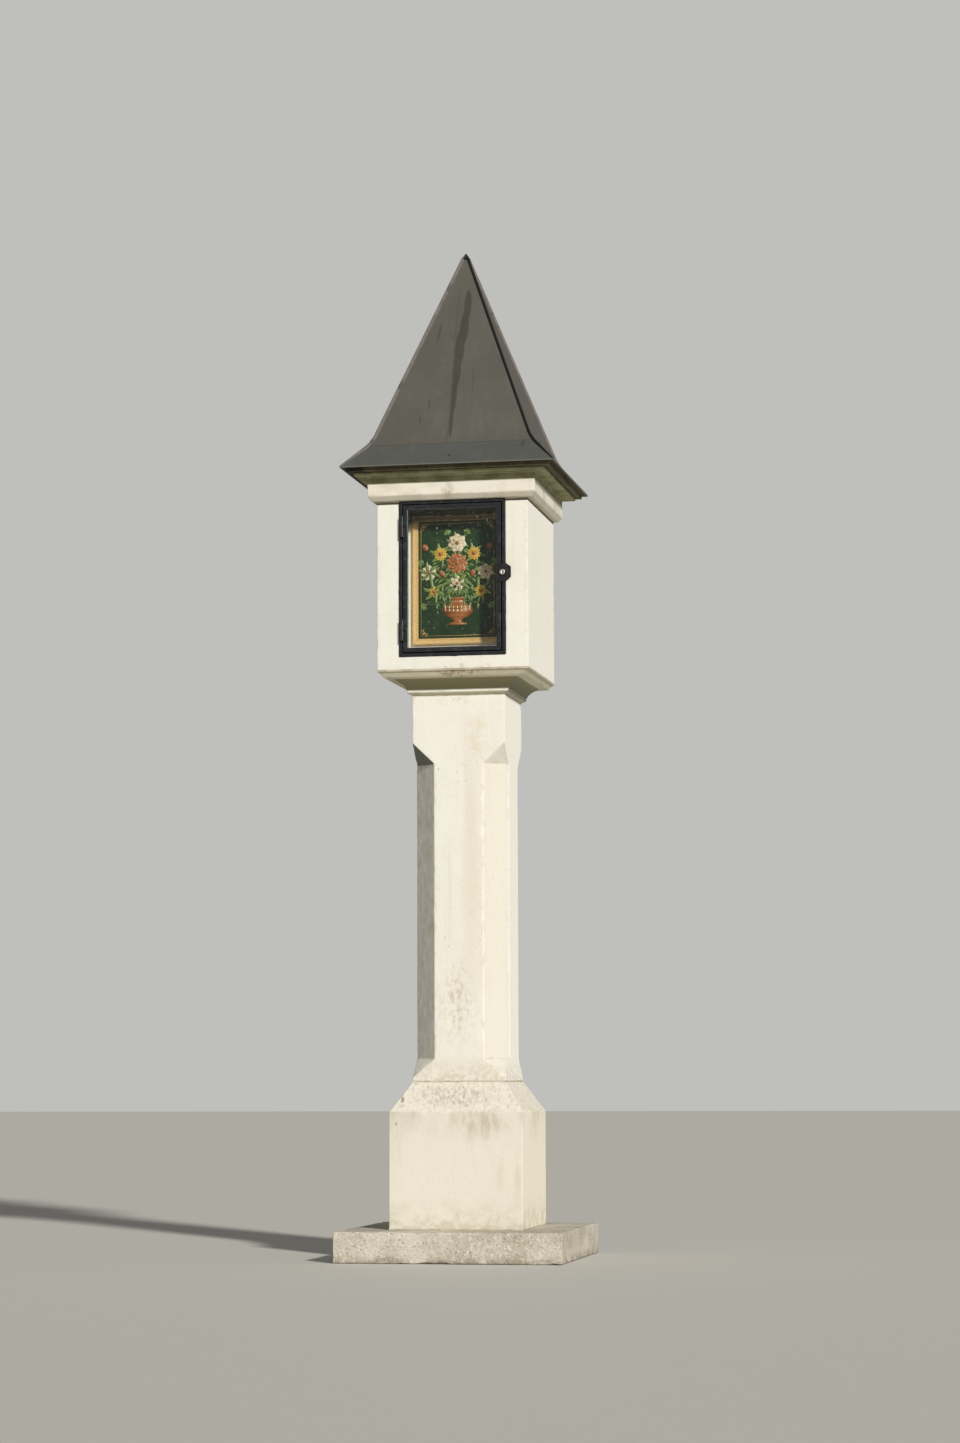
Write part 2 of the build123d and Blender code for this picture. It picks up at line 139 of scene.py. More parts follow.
class Finish:
    """A material while it is made: its tree, its shader, where a point lies and the coats so far.
    A mask is a socket, a tuple of what patches takes, or the name of a vertex attribute."""

    def __init__(self, name, colour, roughness, metallic=0.0):
        self.material = bpy.data.materials.new(name)
        self.material.use_nodes = True
        self.tree = self.material.node_tree
        self.tree.nodes.clear()
        values = {"Base Color": colour, "Roughness": roughness, "Metallic": metallic}
        self.shader = add(self.tree, "ShaderNodeBsdfPrincipled", values)
        self.output = add(self.tree, "ShaderNodeOutputMaterial", {0: self.shader.outputs[0]})
        place = add(self.tree, "ShaderNodeTexCoord").outputs
        self.point = place["Object"]
        self.x, self.y, self.z = add(self.tree, "ShaderNodeSeparateXYZ", {0: self.point}).outputs
        facing = add(self.tree, "ShaderNodeSeparateXYZ", {0: place["Normal"]})
        self.face_x, self.face_y, self.face_z = facing.outputs
        self.colour = colour
        self.height = None

    def both(self, *masks):
        """Where all of some masks are. A number among them weakens the rest."""
        product = None
        for mask in masks:
            if isinstance(mask, tuple):
                mask = self.patches(*mask)
            elif isinstance(mask, str):
                mask = add(self.tree, "ShaderNodeAttribute", attribute_name=mask).outputs["Fac"]
            if product is not None:
                step = add(self.tree, "ShaderNodeMath", {0: product, 1: mask}, operation="MULTIPLY")
                mask = step.outputs[0]
            product = mask
        return product

    def fade(self, value, low, high, bottom=0.0, top=1.0):
        """Goes smoothly from bottom to top while a value goes from low to high."""
        ends = {"Value": value, "From Min": low, "From Max": high, "To Min": bottom, "To Max": top}
        return add(self.tree, "ShaderNodeMapRange", ends, interpolation_type="SMOOTHSTEP").outputs[0]

    def within(self, value, low, high, soft):
        """A mask that is 1 between low and high and fades to 0 over the soft distance."""
        return self.both(self.fade(value, low - soft, low), self.fade(value, high + soft, high))

    def patches(self, size, low, high, tall=1.0, shift=0.0, detail=4.0, wide=1.0, deep=1.0):
        """Irregular patches of about one size in metres, as a mask that starts at low and is full at high.
        They are drawn out upwards by tall, across by wide and backwards by deep."""
        lie = {"Vector": self.point, "Location": [shift] * 3, "Scale": (1 / wide, 1 / deep, 1 / tall)}
        spot = add(self.tree, "ShaderNodeMapping", lie).outputs[0]
        grain = {"Vector": spot, "Scale": 0.5 / size, "Detail": detail, "Roughness": 0.6}
        return self.fade(add(self.tree, "ShaderNodeTexNoise", grain).outputs[0], low, high)

    def blot(self, centre, size, ragged=0.35, grain=0.25, turn=0.0, soft=0.6):
        """A blot that ends ragged at its half sizes, fades over a soft share of them and leans by turn."""
        lie = {"Vector": self.point, "Location": centre, "Rotation": (0, turn, 0), "Scale": size}
        spot = add(self.tree, "ShaderNodeMapping", lie, vector_type="TEXTURE").outputs[0]
        away = add(self.tree, "ShaderNodeVectorMath", {0: spot}, operation="LENGTH").outputs["Value"]
        fine = {"Vector": self.point, "Scale": 0.5 / (grain * min(size)), "Detail": 3.0}
        torn = add(self.tree, "ShaderNodeTexNoise", fine).outputs[0]
        edge = add(self.tree, "ShaderNodeMath", {0: torn, 1: 2 * ragged, 2: away}, operation="MULTIPLY_ADD")
        return self.fade(edge.outputs[0], 1 + ragged, 1 + ragged - soft)

    def paint(self, colour, strength, *masks):
        """Lays a colour over the coats so far where all the masks are, at most at a strength."""
        coats = {0: self.both(strength, *masks), 6: self.colour, 7: linear(colour)}
        self.colour = add(self.tree, "ShaderNodeMix", coats, data_type="RGBA").outputs[2]

    def relief(self, height, *masks):
        """Adds a height in metres where all the masks are."""
        raised = self.both(height, *masks)
        if self.height is not None:
            heap = add(self.tree, "ShaderNodeMath", {0: self.height, 1: raised}, operation="ADD")
            raised = heap.outputs[0]
        self.height = raised

    def roughen(self, mask, bottom, top):
        """Lets the roughness go from bottom to top with the mask."""
        value = self.fade(self.both(mask), 0.0, 1.0, bottom, top)
        self.tree.links.new(value, self.shader.inputs["Roughness"])

    def done(self):
        """Links what was laid on and returns the material."""
        if isinstance(self.colour, bpy.types.NodeSocket):
            self.tree.links.new(self.colour, self.shader.inputs["Base Color"])
        if self.height is not None:
            heights = {"Height": self.height, "Strength": 1.0, "Distance": 1.0}
            bump = add(self.tree, "ShaderNodeBump", heights).outputs[0]
            self.tree.links.new(bump, self.shader.inputs["Normal"])
        return self.material


def limewash(name):
    """Limewash brushed on dense stone: chalky and matt, with brush marks, fine rain streaks and specks."""
    wash = Finish(name, bpy.context.scene.shrine_stone.limewash, 0.9)
    wash.paint("#dcd6c8", 0.4, (0.22, 0.35, 0.7, 0.6))
    wash.paint("#c6bfad", 0.25, (0.02, 0.5, 0.78, 16.0, 3.1))
    # Real specks are a millimetre or two across. They are drawn at 5 mm, or they wouldn't show.
    wash.paint("#5a5244", 0.6, (0.005, 0.64, 0.7), (0.12, 0.48, 0.62, 1.0, 1.7))
    wash.paint("#b5ac95", 0.4, "arris", (0.025, 0.5, 0.66, 1.0, 8.0))
    wash.relief(0.25 * MM, (0.004, 0.3, 0.7))
    wash.relief(0.6 * MM, (0.03, 0.3, 0.7, 1.0, 5.0))
    return wash


def plinth_wash():
    """The wash of the plinth: lichen and rusty blotches on its slope, grime and streaks below it, and a
    painted highlight on its right faces.
    """
    wash = limewash("limewash_on_plinth")
    face = BASE_LOW.y + 2 * MM
    wash.paint("#d8d1c1", 0.55)
    # A painted highlight: the faces that look right are made lighter, as if more lit
    wash.paint("#f1ead9", 0.6, wash.fade(wash.face_x, 0.8, 0.95))
    up = wash.fade(wash.face_z, 0.3, 0.6)
    wash.paint("#a3998a", 0.6, up, (0.007, 0.46, 0.74, 1.8, 2.2, 8.0))
    wash.paint("#857c6c", 0.24, up, (0.05, 0.55, 0.7, 1.0, 6.4, 9.0))
    rust = wash.blot((-0.01, -0.26, 0.735), (0.25, 0.3, 0.07), ragged=0.15, soft=0.7)
    wash.paint("#9f8775", 0.65, rust, (0.006, 0.38, 0.7, 10.0, 4.0, 6.0))
    below = wash.fade(wash.z, SHOULDER - 0.2, SHOULDER)
    above = wash.fade(wash.z, SHOULDER + 0.004, SHOULDER)
    wash.paint("#a49a86", 0.5, below, above, (0.06, 0.42, 0.72, 2.5, 9.0, 8.0))
    smear = wash.blot((0.12, face, 0.61), (0.22, 0.1, 0.09), soft=1.0)
    wash.paint("#a59076", 0.55, smear, (0.014, 0.3, 0.7, 2.4, 0.6, 8.0))
    for x, low, high in ((0.285, 0.2, 0.56), (0.2, 0.3, 0.5), (-0.27, 0.35, 0.6)):
        run = wash.blot((x, face, (low + high) / 2), (0.03, 0.03, (high - low) / 1.6), soft=1.0)
        wash.paint("#b7986f", 0.28, run, (0.02, 0.3, 0.6, 4.0))
    wash.paint("#6d5a48", 0.7, wash.blot((-0.249, -0.262, 0.715), (0.012, 0.03, 0.02)))
    wash.paint("#8c7b62", 0.5, wash.blot((-0.271, face, 0.61), (0.008, 0.02, 0.012)))
    splash = wash.fade(wash.z, BASE_LOW.z + 0.16, BASE_LOW.z)
    wash.paint("#a89b7a", 0.4, splash, (0.03, 0.4, 0.62, 1.0, 3.7))
    return wash.done()


def shaft_wash():
    """The wash of the shaft, yellowed at its head and mottled low on its front, with painted shade on its
    right chamfers, stops and left faces, and a painted highlight on its right faces.
    """
    wash = limewash("limewash_on_shaft")
    face = -SHAFT_HIGH.x
    head = wash.blot((-0.02, face, SHAFT_HIGH.z - 0.025), (0.12, 0.08, 0.035), soft=1.0)
    wash.paint("#c2ad80", 0.4, head, (0.012, 0.42, 0.66, 1.5))
    mottled = wash.blot((-0.01, face, 1.14), (0.13, 0.08, 0.27), soft=1.0)
    wash.paint("#b39f84", 0.6, mottled, (0.008, 0.4, 0.7, 1.6, 5.1, 9.0))
    beige = wash.blot((0.062, face, 1.75), (0.066, 0.08, 0.72), ragged=0.15, soft=0.7)
    wash.paint("#d9cfbb", 0.45, beige, (0.09, 0.1, 0.5, 6.0, 2.6))
    wash.paint("#d3c6a8", 0.4, wash.blot((0.09, face, 2.36), (0.07, 0.08, 0.13)), (0.03, 0.4, 0.6))
    # Painted shade on the right chamfers, then a painted highlight on the faces that look right
    wash.paint("#bdb6a4", 0.42, wash.within(wash.face_x, 0.6, 0.76, 0.06))
    wash.paint("#f5f2ea", 0.75, wash.fade(wash.face_x, 0.85, 0.97))
    # Painted shade on the right foot stops, mottled painted shade on the left faces, and dark painted shade
    # on the lower left head stop
    wash.paint("#a9a392", 0.3, wash.fade(wash.face_x, 0.3, 0.4), wash.fade(wash.face_z, 0.1, 0.2))
    wash.paint("#b5b09c", 0.55, wash.fade(wash.face_x, -0.5, -0.65), (0.012, 0.3, 0.75, 2.0, 7.0, 7.0))
    wash.paint("#55574b", 0.85, wash.fade(wash.face_x, -0.25, -0.4), wash.fade(wash.face_z, -0.15, -0.3))
    low = wash.fade(wash.z, SHAFT_LOW.z + 0.13, SHAFT_LOW.z + 0.07)
    wash.paint("#cdc4ae", 0.25, wash.fade(wash.face_y, -0.85, -0.95), low)
    foot = wash.fade(wash.z, SHAFT_LOW.z + 0.12, SHAFT_LOW.z)
    wash.paint("#b9ac93", 0.5, foot, (0.012, 0.42, 0.6, 1.0, 1.3))
    return wash.done()


def corbel_wash():
    """The wash of the corbel: a brown run on its lip, painted olive shade on its undersides and darker in
    the hollow, and painted shade on its right flank.
    """
    wash = limewash("limewash_on_corbel")
    # Painted shade: the undersides are tinted olive grey, the hollow darker still, and the right flank under
    # the lip as if shaded by the box
    wash.paint("#c4bb96", 0.65, wash.fade(wash.face_z, -0.2, -0.6))
    wash.paint("#857f5c", 0.9, wash.within(wash.z, LIP - 0.046, LIP - 0.001, 0.0015))
    wash.paint("#7c7d6c", 0.6, wash.fade(wash.face_x, 0.3, 0.6), wash.fade(wash.z, LIP, LIP - 0.003))
    run = wash.blot((0.03, CORBEL_LOW.y, LIP + 0.016), (0.13, 0.1, 0.035))
    wash.paint("#8d744e", 0.75, run, (0.012, 0.4, 0.6))
    return wash.done()


def box_wash():
    """The wash of the niche box: a painted highlight on its right face, runs at its foot, a painted shadow
    with grime under the drip, and black painted shade inside its top.
    """
    wash = limewash("limewash_on_niche_box")
    # A painted highlight: the faces that look right are made lighter, as if more lit
    wash.paint("#f4f1e8", 0.55, wash.fade(wash.face_x, 0.85, 0.97))
    for x, tall in ((-0.02, 0.035), (0.05, 0.025), (0.16, 0.02)):
        run = wash.blot((x, LEFT_LOW.y, LEFT_LOW.z + 0.01), (0.03, 0.05, tall))
        wash.paint("#b79f74", 0.45, run, (0.012, 0.42, 0.6))
    # A painted shadow of the drip along the top of the walls, darkened further as grime
    wash.paint("#352e1c", 0.9, wash.fade(wash.z, LEFT_HIGH.z - 0.014, LEFT_HIGH.z - 0.011))
    # Painted shade: black inside the niche above the picture, as if unlit
    deep = wash.within(wash.y, LEFT_LOW.y + 0.018, LEFT_HIGH.y + 0.001, 0.006)
    between = wash.within(wash.x, LEFT_HIGH.x - 0.001, RIGHT_LOW.x + 0.001, 0.001)
    wash.paint("#1d1c17", 0.93, deep, between, wash.fade(wash.z, GILT_HIGH.z - 0.07, GILT_HIGH.z - 0.02))
    return wash.done()


def cornice_wash(name):
    """The wash of the cornice, stained on its fascia, with painted shade on its undersides and a dark
    painted olive shade under the eave.
    """
    wash = limewash(name)
    wash.paint("#dbd3bf", 0.4)
    stain = wash.blot((-0.012, BED_LOW.y, FASCIA - 0.03), (0.04, 0.08, 0.07), soft=1.0)
    wash.paint("#8b7d5c", 0.75, stain, (0.012, 0.25, 0.62, 2.0, 0.0, 8.0))
    wash.paint("#aca283", 0.5, (0.05, 0.44, 0.7, 1.0, 2.9, 7.0, 2.2))
    # Painted shade: the faces that look down are made darker
    wash.paint("#c3bca5", 0.6, wash.fade(wash.face_z, -0.2, -0.5))
    # Painted shade: a dark olive, mottled, over all that lies above the fascia under the eave
    eave_shade = wash.fade(wash.z, BED_HIGH.z - 0.036, BED_HIGH.z - 0.03)
    wash.paint("#96946c", 0.92, eave_shade)
    wash.paint("#6f6d45", 0.6, eave_shade, (0.04, 0.42, 0.6, 0.5))
    return wash.done()


def lime_mortar():
    """Lime mortar struck into the joints: sandy, darker than the wash and crumbling."""
    mortar = Finish("lime_mortar", linear("#c2baa6"), 0.95)
    mortar.paint("#978c76", 0.6, (0.02, 0.4, 0.62))
    mortar.relief(0.6 * MM, (0.002, 0.3, 0.7))
    return mortar.done()


def footing_concrete():
    """Cast concrete, weathered until its sand and stones show: pale grey with pits and some moss."""
    cast = Finish("weathered_cast_concrete", linear("#cac4b6"), 0.93)
    cast.paint("#9c9384", 0.6, (0.12, 0.4, 0.62, 1.0, 0.0, 8.0))
    cast.paint("#ddd5c6", 0.7, (0.006, 0.56, 0.62, 1.0, 4.0))
    cast.paint("#6f675c", 0.7, (0.004, 0.6, 0.66, 1.0, 1.0))
    cast.paint("#6b6a3f", 0.55, (0.09, 0.56, 0.68, 1.0, 7.7, 9.0), (0.006, 0.4, 0.6))
    cast.paint("#7d6f5a", 0.6, cast.fade(cast.z, 0.05, 0.0), (0.03, 0.35, 0.6))
    cast.relief(1.4 * MM, (0.008, 0.35, 0.65, 1.0, 4.0, 6.0))
    cast.relief(-1.5 * MM, (0.004, 0.62, 0.68, 1.0, 1.0))
    return cast.done()


def roof_zinc(name, colour):
    """Zinc sheet under old paint: satin, stone grey, streaked by rain and a little chalky."""
    sheet = Finish(name, colour, 0.5)
    sheet.paint("#4b4b46", 0.3, (0.2, 0.35, 0.65, 1.8))
    sheet.paint("#6d6d66", 0.2, (0.03, 0.5, 0.75, 9.0, 4.4))
    sheet.paint("#35352f", 0.25, (0.006, 0.6, 0.68, 1.5, 1.1))
    sheet.relief(0.15 * MM, (0.01, 0.3, 0.7))
    sheet.roughen((0.1, 0.3, 0.7, 1.0, 2.0), 0.42, 0.6)
    return sheet


def spire_zinc():
    """The steep sheets, with the dark run and the scratches of the front."""
    sheet = roof_zinc("painted_zinc_spire", bpy.context.scene.shrine_roof.spire)

    def mark(x, share, half, reach, **form):
        """A blot on the front, at a share of its height."""
        rise = share * (SPIRE_HIGH.z - SPIRE_LOW.z)
        return sheet.blot((x, SPIRE_LOW.y * (1 - share), SPIRE_LOW.z + rise), (half, 0.12, reach), **form)

    dark = 0.0
    for run in (
        (0.028, 0.73, 0.02, 0.1), (0.019, 0.61, 0.024, 0.1), (0.005, 0.5, 0.026, 0.12),
        (0.0, 0.39, 0.022, 0.12), (-0.005, 0.25, 0.016, 0.13), (-0.008, 0.12, 0.011, 0.1),
    ):
        run = mark(*run, ragged=0.15, soft=0.3)
        dark = add(sheet.tree, "ShaderNodeMath", {0: dark, 1: run}, operation="MAXIMUM").outputs[0]
    sheet.paint("#3b3934", 0.85, dark, sheet.fade(sheet.x, -0.0185, -0.0145))
    for *scratch, lean in (
        (-0.096, 0.594, 0.008, 0.075, 0.12), (-0.117, 0.212, 0.006, 0.04, 0.02),
        (-0.155, 0.13, 0.006, 0.026, 0.0), (-0.106, 0.114, 0.006, 0.008, 0.0),
        (-0.033, 0.562, 0.004, 0.006, 0.0), (0.079, 0.33, 0.0022, 0.2, -0.02),
    ):
        sheet.paint("#3b3b36", 0.65, mark(*scratch, ragged=0.3, grain=1.0, turn=lean))
    return sheet.done()


def flare_zinc():
    """The flared sheets at the foot, a cooler grey than the steep ones, and bright along their hem."""
    sheet = roof_zinc("painted_zinc_flare", bpy.context.scene.shrine_roof.flare)
    smudge = sheet.blot((0.336, FLARE_LOW.y + 0.1, FLARE_HIGH.z - 0.02), (0.012, 0.1, 0.03))
    sheet.paint("#35352f", 0.5, smudge)
    sheet.paint("#7d7d76", 0.4, sheet.fade(sheet.z, FLARE_LOW.z + 0.007, FLARE_LOW.z + 0.003))
    return sheet.done()


def seam_zinc():
    """The folded seams of the same sheet: a faded rose grey, lighter along their arrises with wear and a
    painted highlight, and painted black shade on the front right hip.
    """
    seam = Finish("painted_zinc_seams", linear("#55524f"), 0.5)
    seam.paint("#2c2c2e", 0.5, (0.03, 0.4, 0.6))
    # Lighter along the arrises: wear and a painted highlight
    seam.paint("#857b78", 0.5, "arris", (0.03, 0.3, 0.5, 1.0, 3.0))
    # Painted shade: the front right hip is made nearly black, as if its seam were in shade
    seam.paint("#141517", 0.95, seam.fade(seam.x, -0.012, 0.0), seam.fade(seam.y, 0.012, 0.0))
    seam.relief(0.2 * MM, (0.008, 0.3, 0.7))
    return seam.done()


def soffit_timber():
    """Spruce boards long unpainted: dull olive brown, with fine grain along the boards and painted shade at
    their left end.
    """
    wood = Finish("weathered_spruce_boards", linear("#575034"), 0.85)
    grain = wood.patches(0.004, 0.4, 0.68, detail=6.0, deep=30.0)
    wood.paint("#332e1c", 0.75, grain)
    wood.paint("#7a7358", 0.4, wood.patches(0.08, 0.45, 0.65, shift=3.0, deep=4.0))
    # Painted shade: the left end of the boards is made nearly black, as if in deep shade
    wood.paint("#12110b", 0.8, wood.fade(wood.x, BOARD_LOW.x + 0.1, BOARD_LOW.x + 0.07))
    wood.relief(-0.4 * MM, grain)
    return wood.done()


def door_enamel(name, colour):
    """Steel under brushed enamel: soft black and satin, with dust on its ledges and bare worn corners."""
    enamel = Finish(name, colour, 0.34)
    enamel.paint("#22252a", 0.25, (0.1, 0.4, 0.7, 2.0))
    enamel.paint("#8a8781", 0.35, enamel.fade(enamel.face_z, 0.6, 0.9), (0.01, 0.4, 0.65, 1.0, 2.0))
    enamel.paint("#4a4d56", 0.4, "arris", (0.012, 0.52, 0.64, 1.0, 5.0))
    enamel.paint("#5b3a28", 0.7, "arris", (0.02, 0.64, 0.7, 1.0, 9.0))
    enamel.relief(0.04 * MM, (0.004, 0.3, 0.7, 5.0))
    enamel.roughen((0.02, 0.35, 0.7, 1.0, 1.0), 0.36, 0.46)
    return enamel.done()


def lock_metal():
    """Nickel-plated brass, dulled outdoors: a pale satin metal, with black enamel left on the ring."""
    metal = Finish("dulled_nickel_plate", linear("#efede6"), 0.38, 1.0)
    metal.paint("#9c9588", 0.4, (0.004, 0.5, 0.66))
    metal.paint("#0d0e10", 0.95, metal.fade(metal.y, KNOB_LOW.y + 4.2 * MM, KNOB_LOW.y + 4.8 * MM))
    metal.roughen((0.002, 0.35, 0.65), 0.3, 0.5)
    return metal.done()


def linseed_putty():
    """Linseed putty round the glass: hard, matt and greyed by dust."""
    putty = Finish("linseed_putty", linear("#8d8b84"), 0.8)
    putty.paint("#4b4a47", 0.5, (0.01, 0.45, 0.65))
    return putty.done()


def float_glass():
    """Clear float glass: the sheen of a bare pane, a little dust at its foot and some dried drops."""
    glass = Finish("float_glass", linear("#f4f7f5"), 0.03, 1.0)
    tree = glass.tree
    clear = add(tree, "ShaderNodeBsdfTransparent", {"Color": linear("#fbfcfb")}).outputs[0]
    slant = add(tree, "ShaderNodeLayerWeight", {"Blend": 0.5}).outputs["Facing"]
    steep = add(tree, "ShaderNodeMath", {0: slant, 1: 5.0}, operation="POWER").outputs[0]
    sheen = glass.fade(steep, 0.0, 1.0, 0.035, 1.0)
    pane = add(tree, "ShaderNodeMixShader", {0: sheen, 1: clear, 2: glass.shader.outputs[0]}).outputs[0]
    dust = add(tree, "ShaderNodeBsdfDiffuse", {"Color": linear("#b4ad9c")}).outputs[0]
    foot = glass.both(0.12, glass.fade(glass.z, PANE_LOW.z + 0.06, PANE_LOW.z), (0.002, 0.3, 0.7))
    spots = glass.both(0.5, (0.004, 0.7, 0.73, 1.0, 3.0, 1.0))
    dirt = add(tree, "ShaderNodeMath", {0: foot, 1: spots}, operation="MAXIMUM").outputs[0]
    mixed = add(tree, "ShaderNodeMixShader", {0: dirt, 1: pane, 2: dust})
    tree.links.new(mixed.outputs[0], glass.output.inputs[0])
    return glass.done()


def gilt_wood():
    """Spruce moulding under gold bronze paint: a warm satin gold, darker in the hollow and at the mitres,
    with painted shade on its top bar.
    """
    gilt = Finish("bronze_painted_moulding", bpy.context.scene.shrine_picture.gilt, 0.42, 0.1)
    gilt.paint("#a06f2c", 0.25, gilt.fade(gilt.y, GILT_LOW.y + 1 * MM, GILT_LOW.y + 4 * MM))
    # Painted shade: the top bar is made nearly black, as if in the shade of the niche's top
    gilt.paint("#241b0d", 0.85, gilt.fade(gilt.z, GILT_HIGH.z - 0.05, GILT_HIGH.z - 0.02))
    gilt.paint("#e9cd8a", 0.6, "arris", (0.02, 0.4, 0.6))
    gilt.paint("#6d4a22", 0.5, (0.006, 0.58, 0.7, 1.0, 2.0, 8.0))
    middle = (GILT_LOW + GILT_HIGH) / 2
    away = []
    for place, centre in ((gilt.z, middle.z), (gilt.x, middle.x)):
        offset = add(gilt.tree, "ShaderNodeMath", {0: place, 1: centre}, operation="SUBTRACT").outputs[0]
        away.append(add(gilt.tree, "ShaderNodeMath", {0: offset}, operation="ABSOLUTE").outputs[0])
    beyond = add(gilt.tree, "ShaderNodeMath", {0: away[0], 1: away[1]}, operation="SUBTRACT").outputs[0]
    line = (GILT_HIGH.z - GILT_LOW.z - GILT_HIGH.x + GILT_LOW.x) / 2
    gilt.paint("#3d2a14", 0.8, gilt.within(beyond, line - 0.3 * MM, line + 0.3 * MM, 0.4 * MM))
    gilt.relief(0.1 * MM, (0.003, 0.3, 0.7))
    return gilt.done()


def panel_ground():
    """Oil ground on the panel: a deep varnished green, lighter in the middle, with a fine craquelure."""
    ground = Finish("varnished_green_ground", bpy.context.scene.shrine_picture.ground, 0.3)
    middle = (PANEL_LOW + PANEL_HIGH) / 2
    glow = ground.blot((0, middle.y, middle.z + 0.03), (0.2, 0.5, 0.26), ragged=0.1, grain=0.5)
    ground.paint("#2f5129", 0.6, glow)
    ground.paint("#16240f", 0.5, (0.03, 0.45, 0.7, 2.0))
    # The cracks of real varnish are 3 to 5 mm apart. They are drawn 14 mm apart, or they wouldn't show.
    islands = {"Vector": ground.point, "Scale": 1 / 0.014}
    cracks = add(ground.tree, "ShaderNodeTexVoronoi", islands, feature="DISTANCE_TO_EDGE").outputs[0]
    crack = ground.fade(cracks, 0.035, 0.01)
    ground.paint("#10180c", 0.5, crack)
    ground.relief(-0.08 * MM, crack)
    return ground.done()


def oil_paint(name, base, tip, dark):
    """Oil paint laid in single strokes, each going from one colour to another, with bristle marks."""
    paint = Finish(name, linear(base), 0.34)
    paint.paint(tip, 1.0, "run")
    # Bristles leave marks of about half a millimetre. They are drawn over a millimetre wide to show.
    paint.paint(dark, 0.5, paint.fade(paint.both("side"), 0.45, 1.0))
    paint.paint(dark, 0.35, (0.0015, 0.45, 0.65))
    paint.relief(0.1 * MM, (0.0012, 0.3, 0.7))
    return paint.done()


def clean_copy(node):
    """A CAD node's mesh, with its loose triangles merged and joined into flat faces."""
    solid = bmesh.new()
    solid.from_mesh(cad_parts[node].data)
    bmesh.ops.remove_doubles(solid, verts=solid.verts, dist=WELD)
    bmesh.ops.dissolve_limit(solid, angle_limit=FLAT, verts=solid.verts, edges=solid.edges)
    return solid


def joined_copy(*nodes):
    """Touching CAD solids as one closed mesh. The faces where two of them meet are left out."""
    whole = bmesh.new()
    for node in nodes:
        part = clean_copy(node)
        mesh = bpy.data.meshes.new(node)
        part.to_mesh(mesh)
        part.free()
        whole.from_mesh(mesh)
        bpy.data.meshes.remove(mesh)
    faces = [(face, face.calc_center_median(), face.normal.copy()) for face in whole.faces]
    hidden = set()
    for at, (face, centre, normal) in enumerate(faces):
        for other, other_centre, other_normal in faces[at + 1:]:
            if (centre - other_centre).length < TOUCH and normal.dot(other_normal) < OPPOSITE:
                hidden.update((face, other))
    bmesh.ops.delete(whole, geom=list(hidden), context="FACES")
    bmesh.ops.remove_doubles(whole, verts=whole.verts, dist=TOUCH)
    bmesh.ops.dissolve_limit(whole, angle_limit=FLAT, verts=whole.verts, edges=whole.edges)
    return whole


def eased(solid, width, segments):
    """Rounds a solid's arrises. The lines that they followed are returned as an array of end points."""
    sharp = [edge for edge in solid.edges if edge.is_manifold and edge.calc_face_angle(0.0) > SHARP]
    lines = np.array([[list(vertex.co) for vertex in edge.verts] for edge in sharp])
    bmesh.ops.bevel(
        solid, geom=sharp, offset=width, offset_type="OFFSET", segments=segments, profile=0.5,
        affect="EDGES", clamp_overlap=True,
    )
    return lines


def gridded(solid, cell, axes):
    """Cuts all faces of a solid into cells, along planes square to the axes."""
    for axis in axes:
        spots = [vertex.co[axis] for vertex in solid.verts]
        low, high = min(spots), max(spots)
        count = max(1, round((high - low) / cell))
        square = Vector([float(axis == other) for other in range(3)])
        for step in range(1, count):
            through = square * (low + (high - low) * step / count)
            every = solid.verts[:] + solid.edges[:] + solid.faces[:]
            bmesh.ops.bisect_plane(solid, geom=every, dist=WELD, plane_co=through, plane_no=square)


def nearness(spots, lines, reach):
    """For each spot, 1 on the nearest line and 0 from reach away."""
    nearest = np.full(len(spots), reach)
    for start, end in lines:
        along = end - start
        share = np.clip((spots - start) @ along / (along @ along), 0, 1)
        nearest = np.minimum(nearest, np.linalg.norm(spots - start - share[:, None] * along, axis=1))
    return 1 - nearest / reach


def worn(solid, lines, wave, chip, reach, seed):
    """Sinks the surface in shallow waves, and chips the arrises, always inwards.
    The attribute arris keeps how near a vertex is to an arris."""
    solid.normal_update()
    close = nearness(np.array([list(vertex.co) for vertex in solid.verts]), lines, reach)
    layer = solid.verts.layers.float.new("arris")
    shift = Vector([seed * step for step in SEED_STEPS])
    for vertex, share in zip(solid.verts, close):
        spot = vertex.co + shift
        swell = 0.5 + 0.5 * noise.noise(spot * WAVES)
        rubbed = noise.noise(spot * CHIPS) + FINE_SHARE * noise.noise(spot * FINE_CHIPS) - WHOLE
        bite = chip * min(1.0, max(0.0, rubbed) * STEEP) * share ** 2
        vertex.co -= vertex.normal * (wave * max(0.0, swell) + bite)
        vertex[layer] = share


def linked(name, data):
    """A new object in the scene."""
    made = bpy.data.objects.new(name, data)
    bpy.context.scene.collection.objects.link(made)
    return made


def as_piece(name, solid):
    """A BMesh as a linked object, smooth but for its creases."""
    bmesh.ops.recalc_face_normals(solid, faces=solid.faces)
    mesh = bpy.data.meshes.new(name)
    solid.to_mesh(mesh)
    solid.free()
    mesh.shade_smooth()
    mesh.set_sharp_from_angle(angle=CREASE)
    return linked(name, mesh)


def settled(piece):
    """Turns what a piece's modifiers make into its plain mesh."""
    bpy.context.view_layer.update()
    shown = piece.evaluated_get(bpy.context.evaluated_depsgraph_get())
    mesh = bpy.data.meshes.new_from_object(shown)
    piece.modifiers.clear()
    old = piece.data
    piece.data = mesh
    if old.users == 0:
        bpy.data.meshes.remove(old)
    mesh.name = piece.name
    return piece


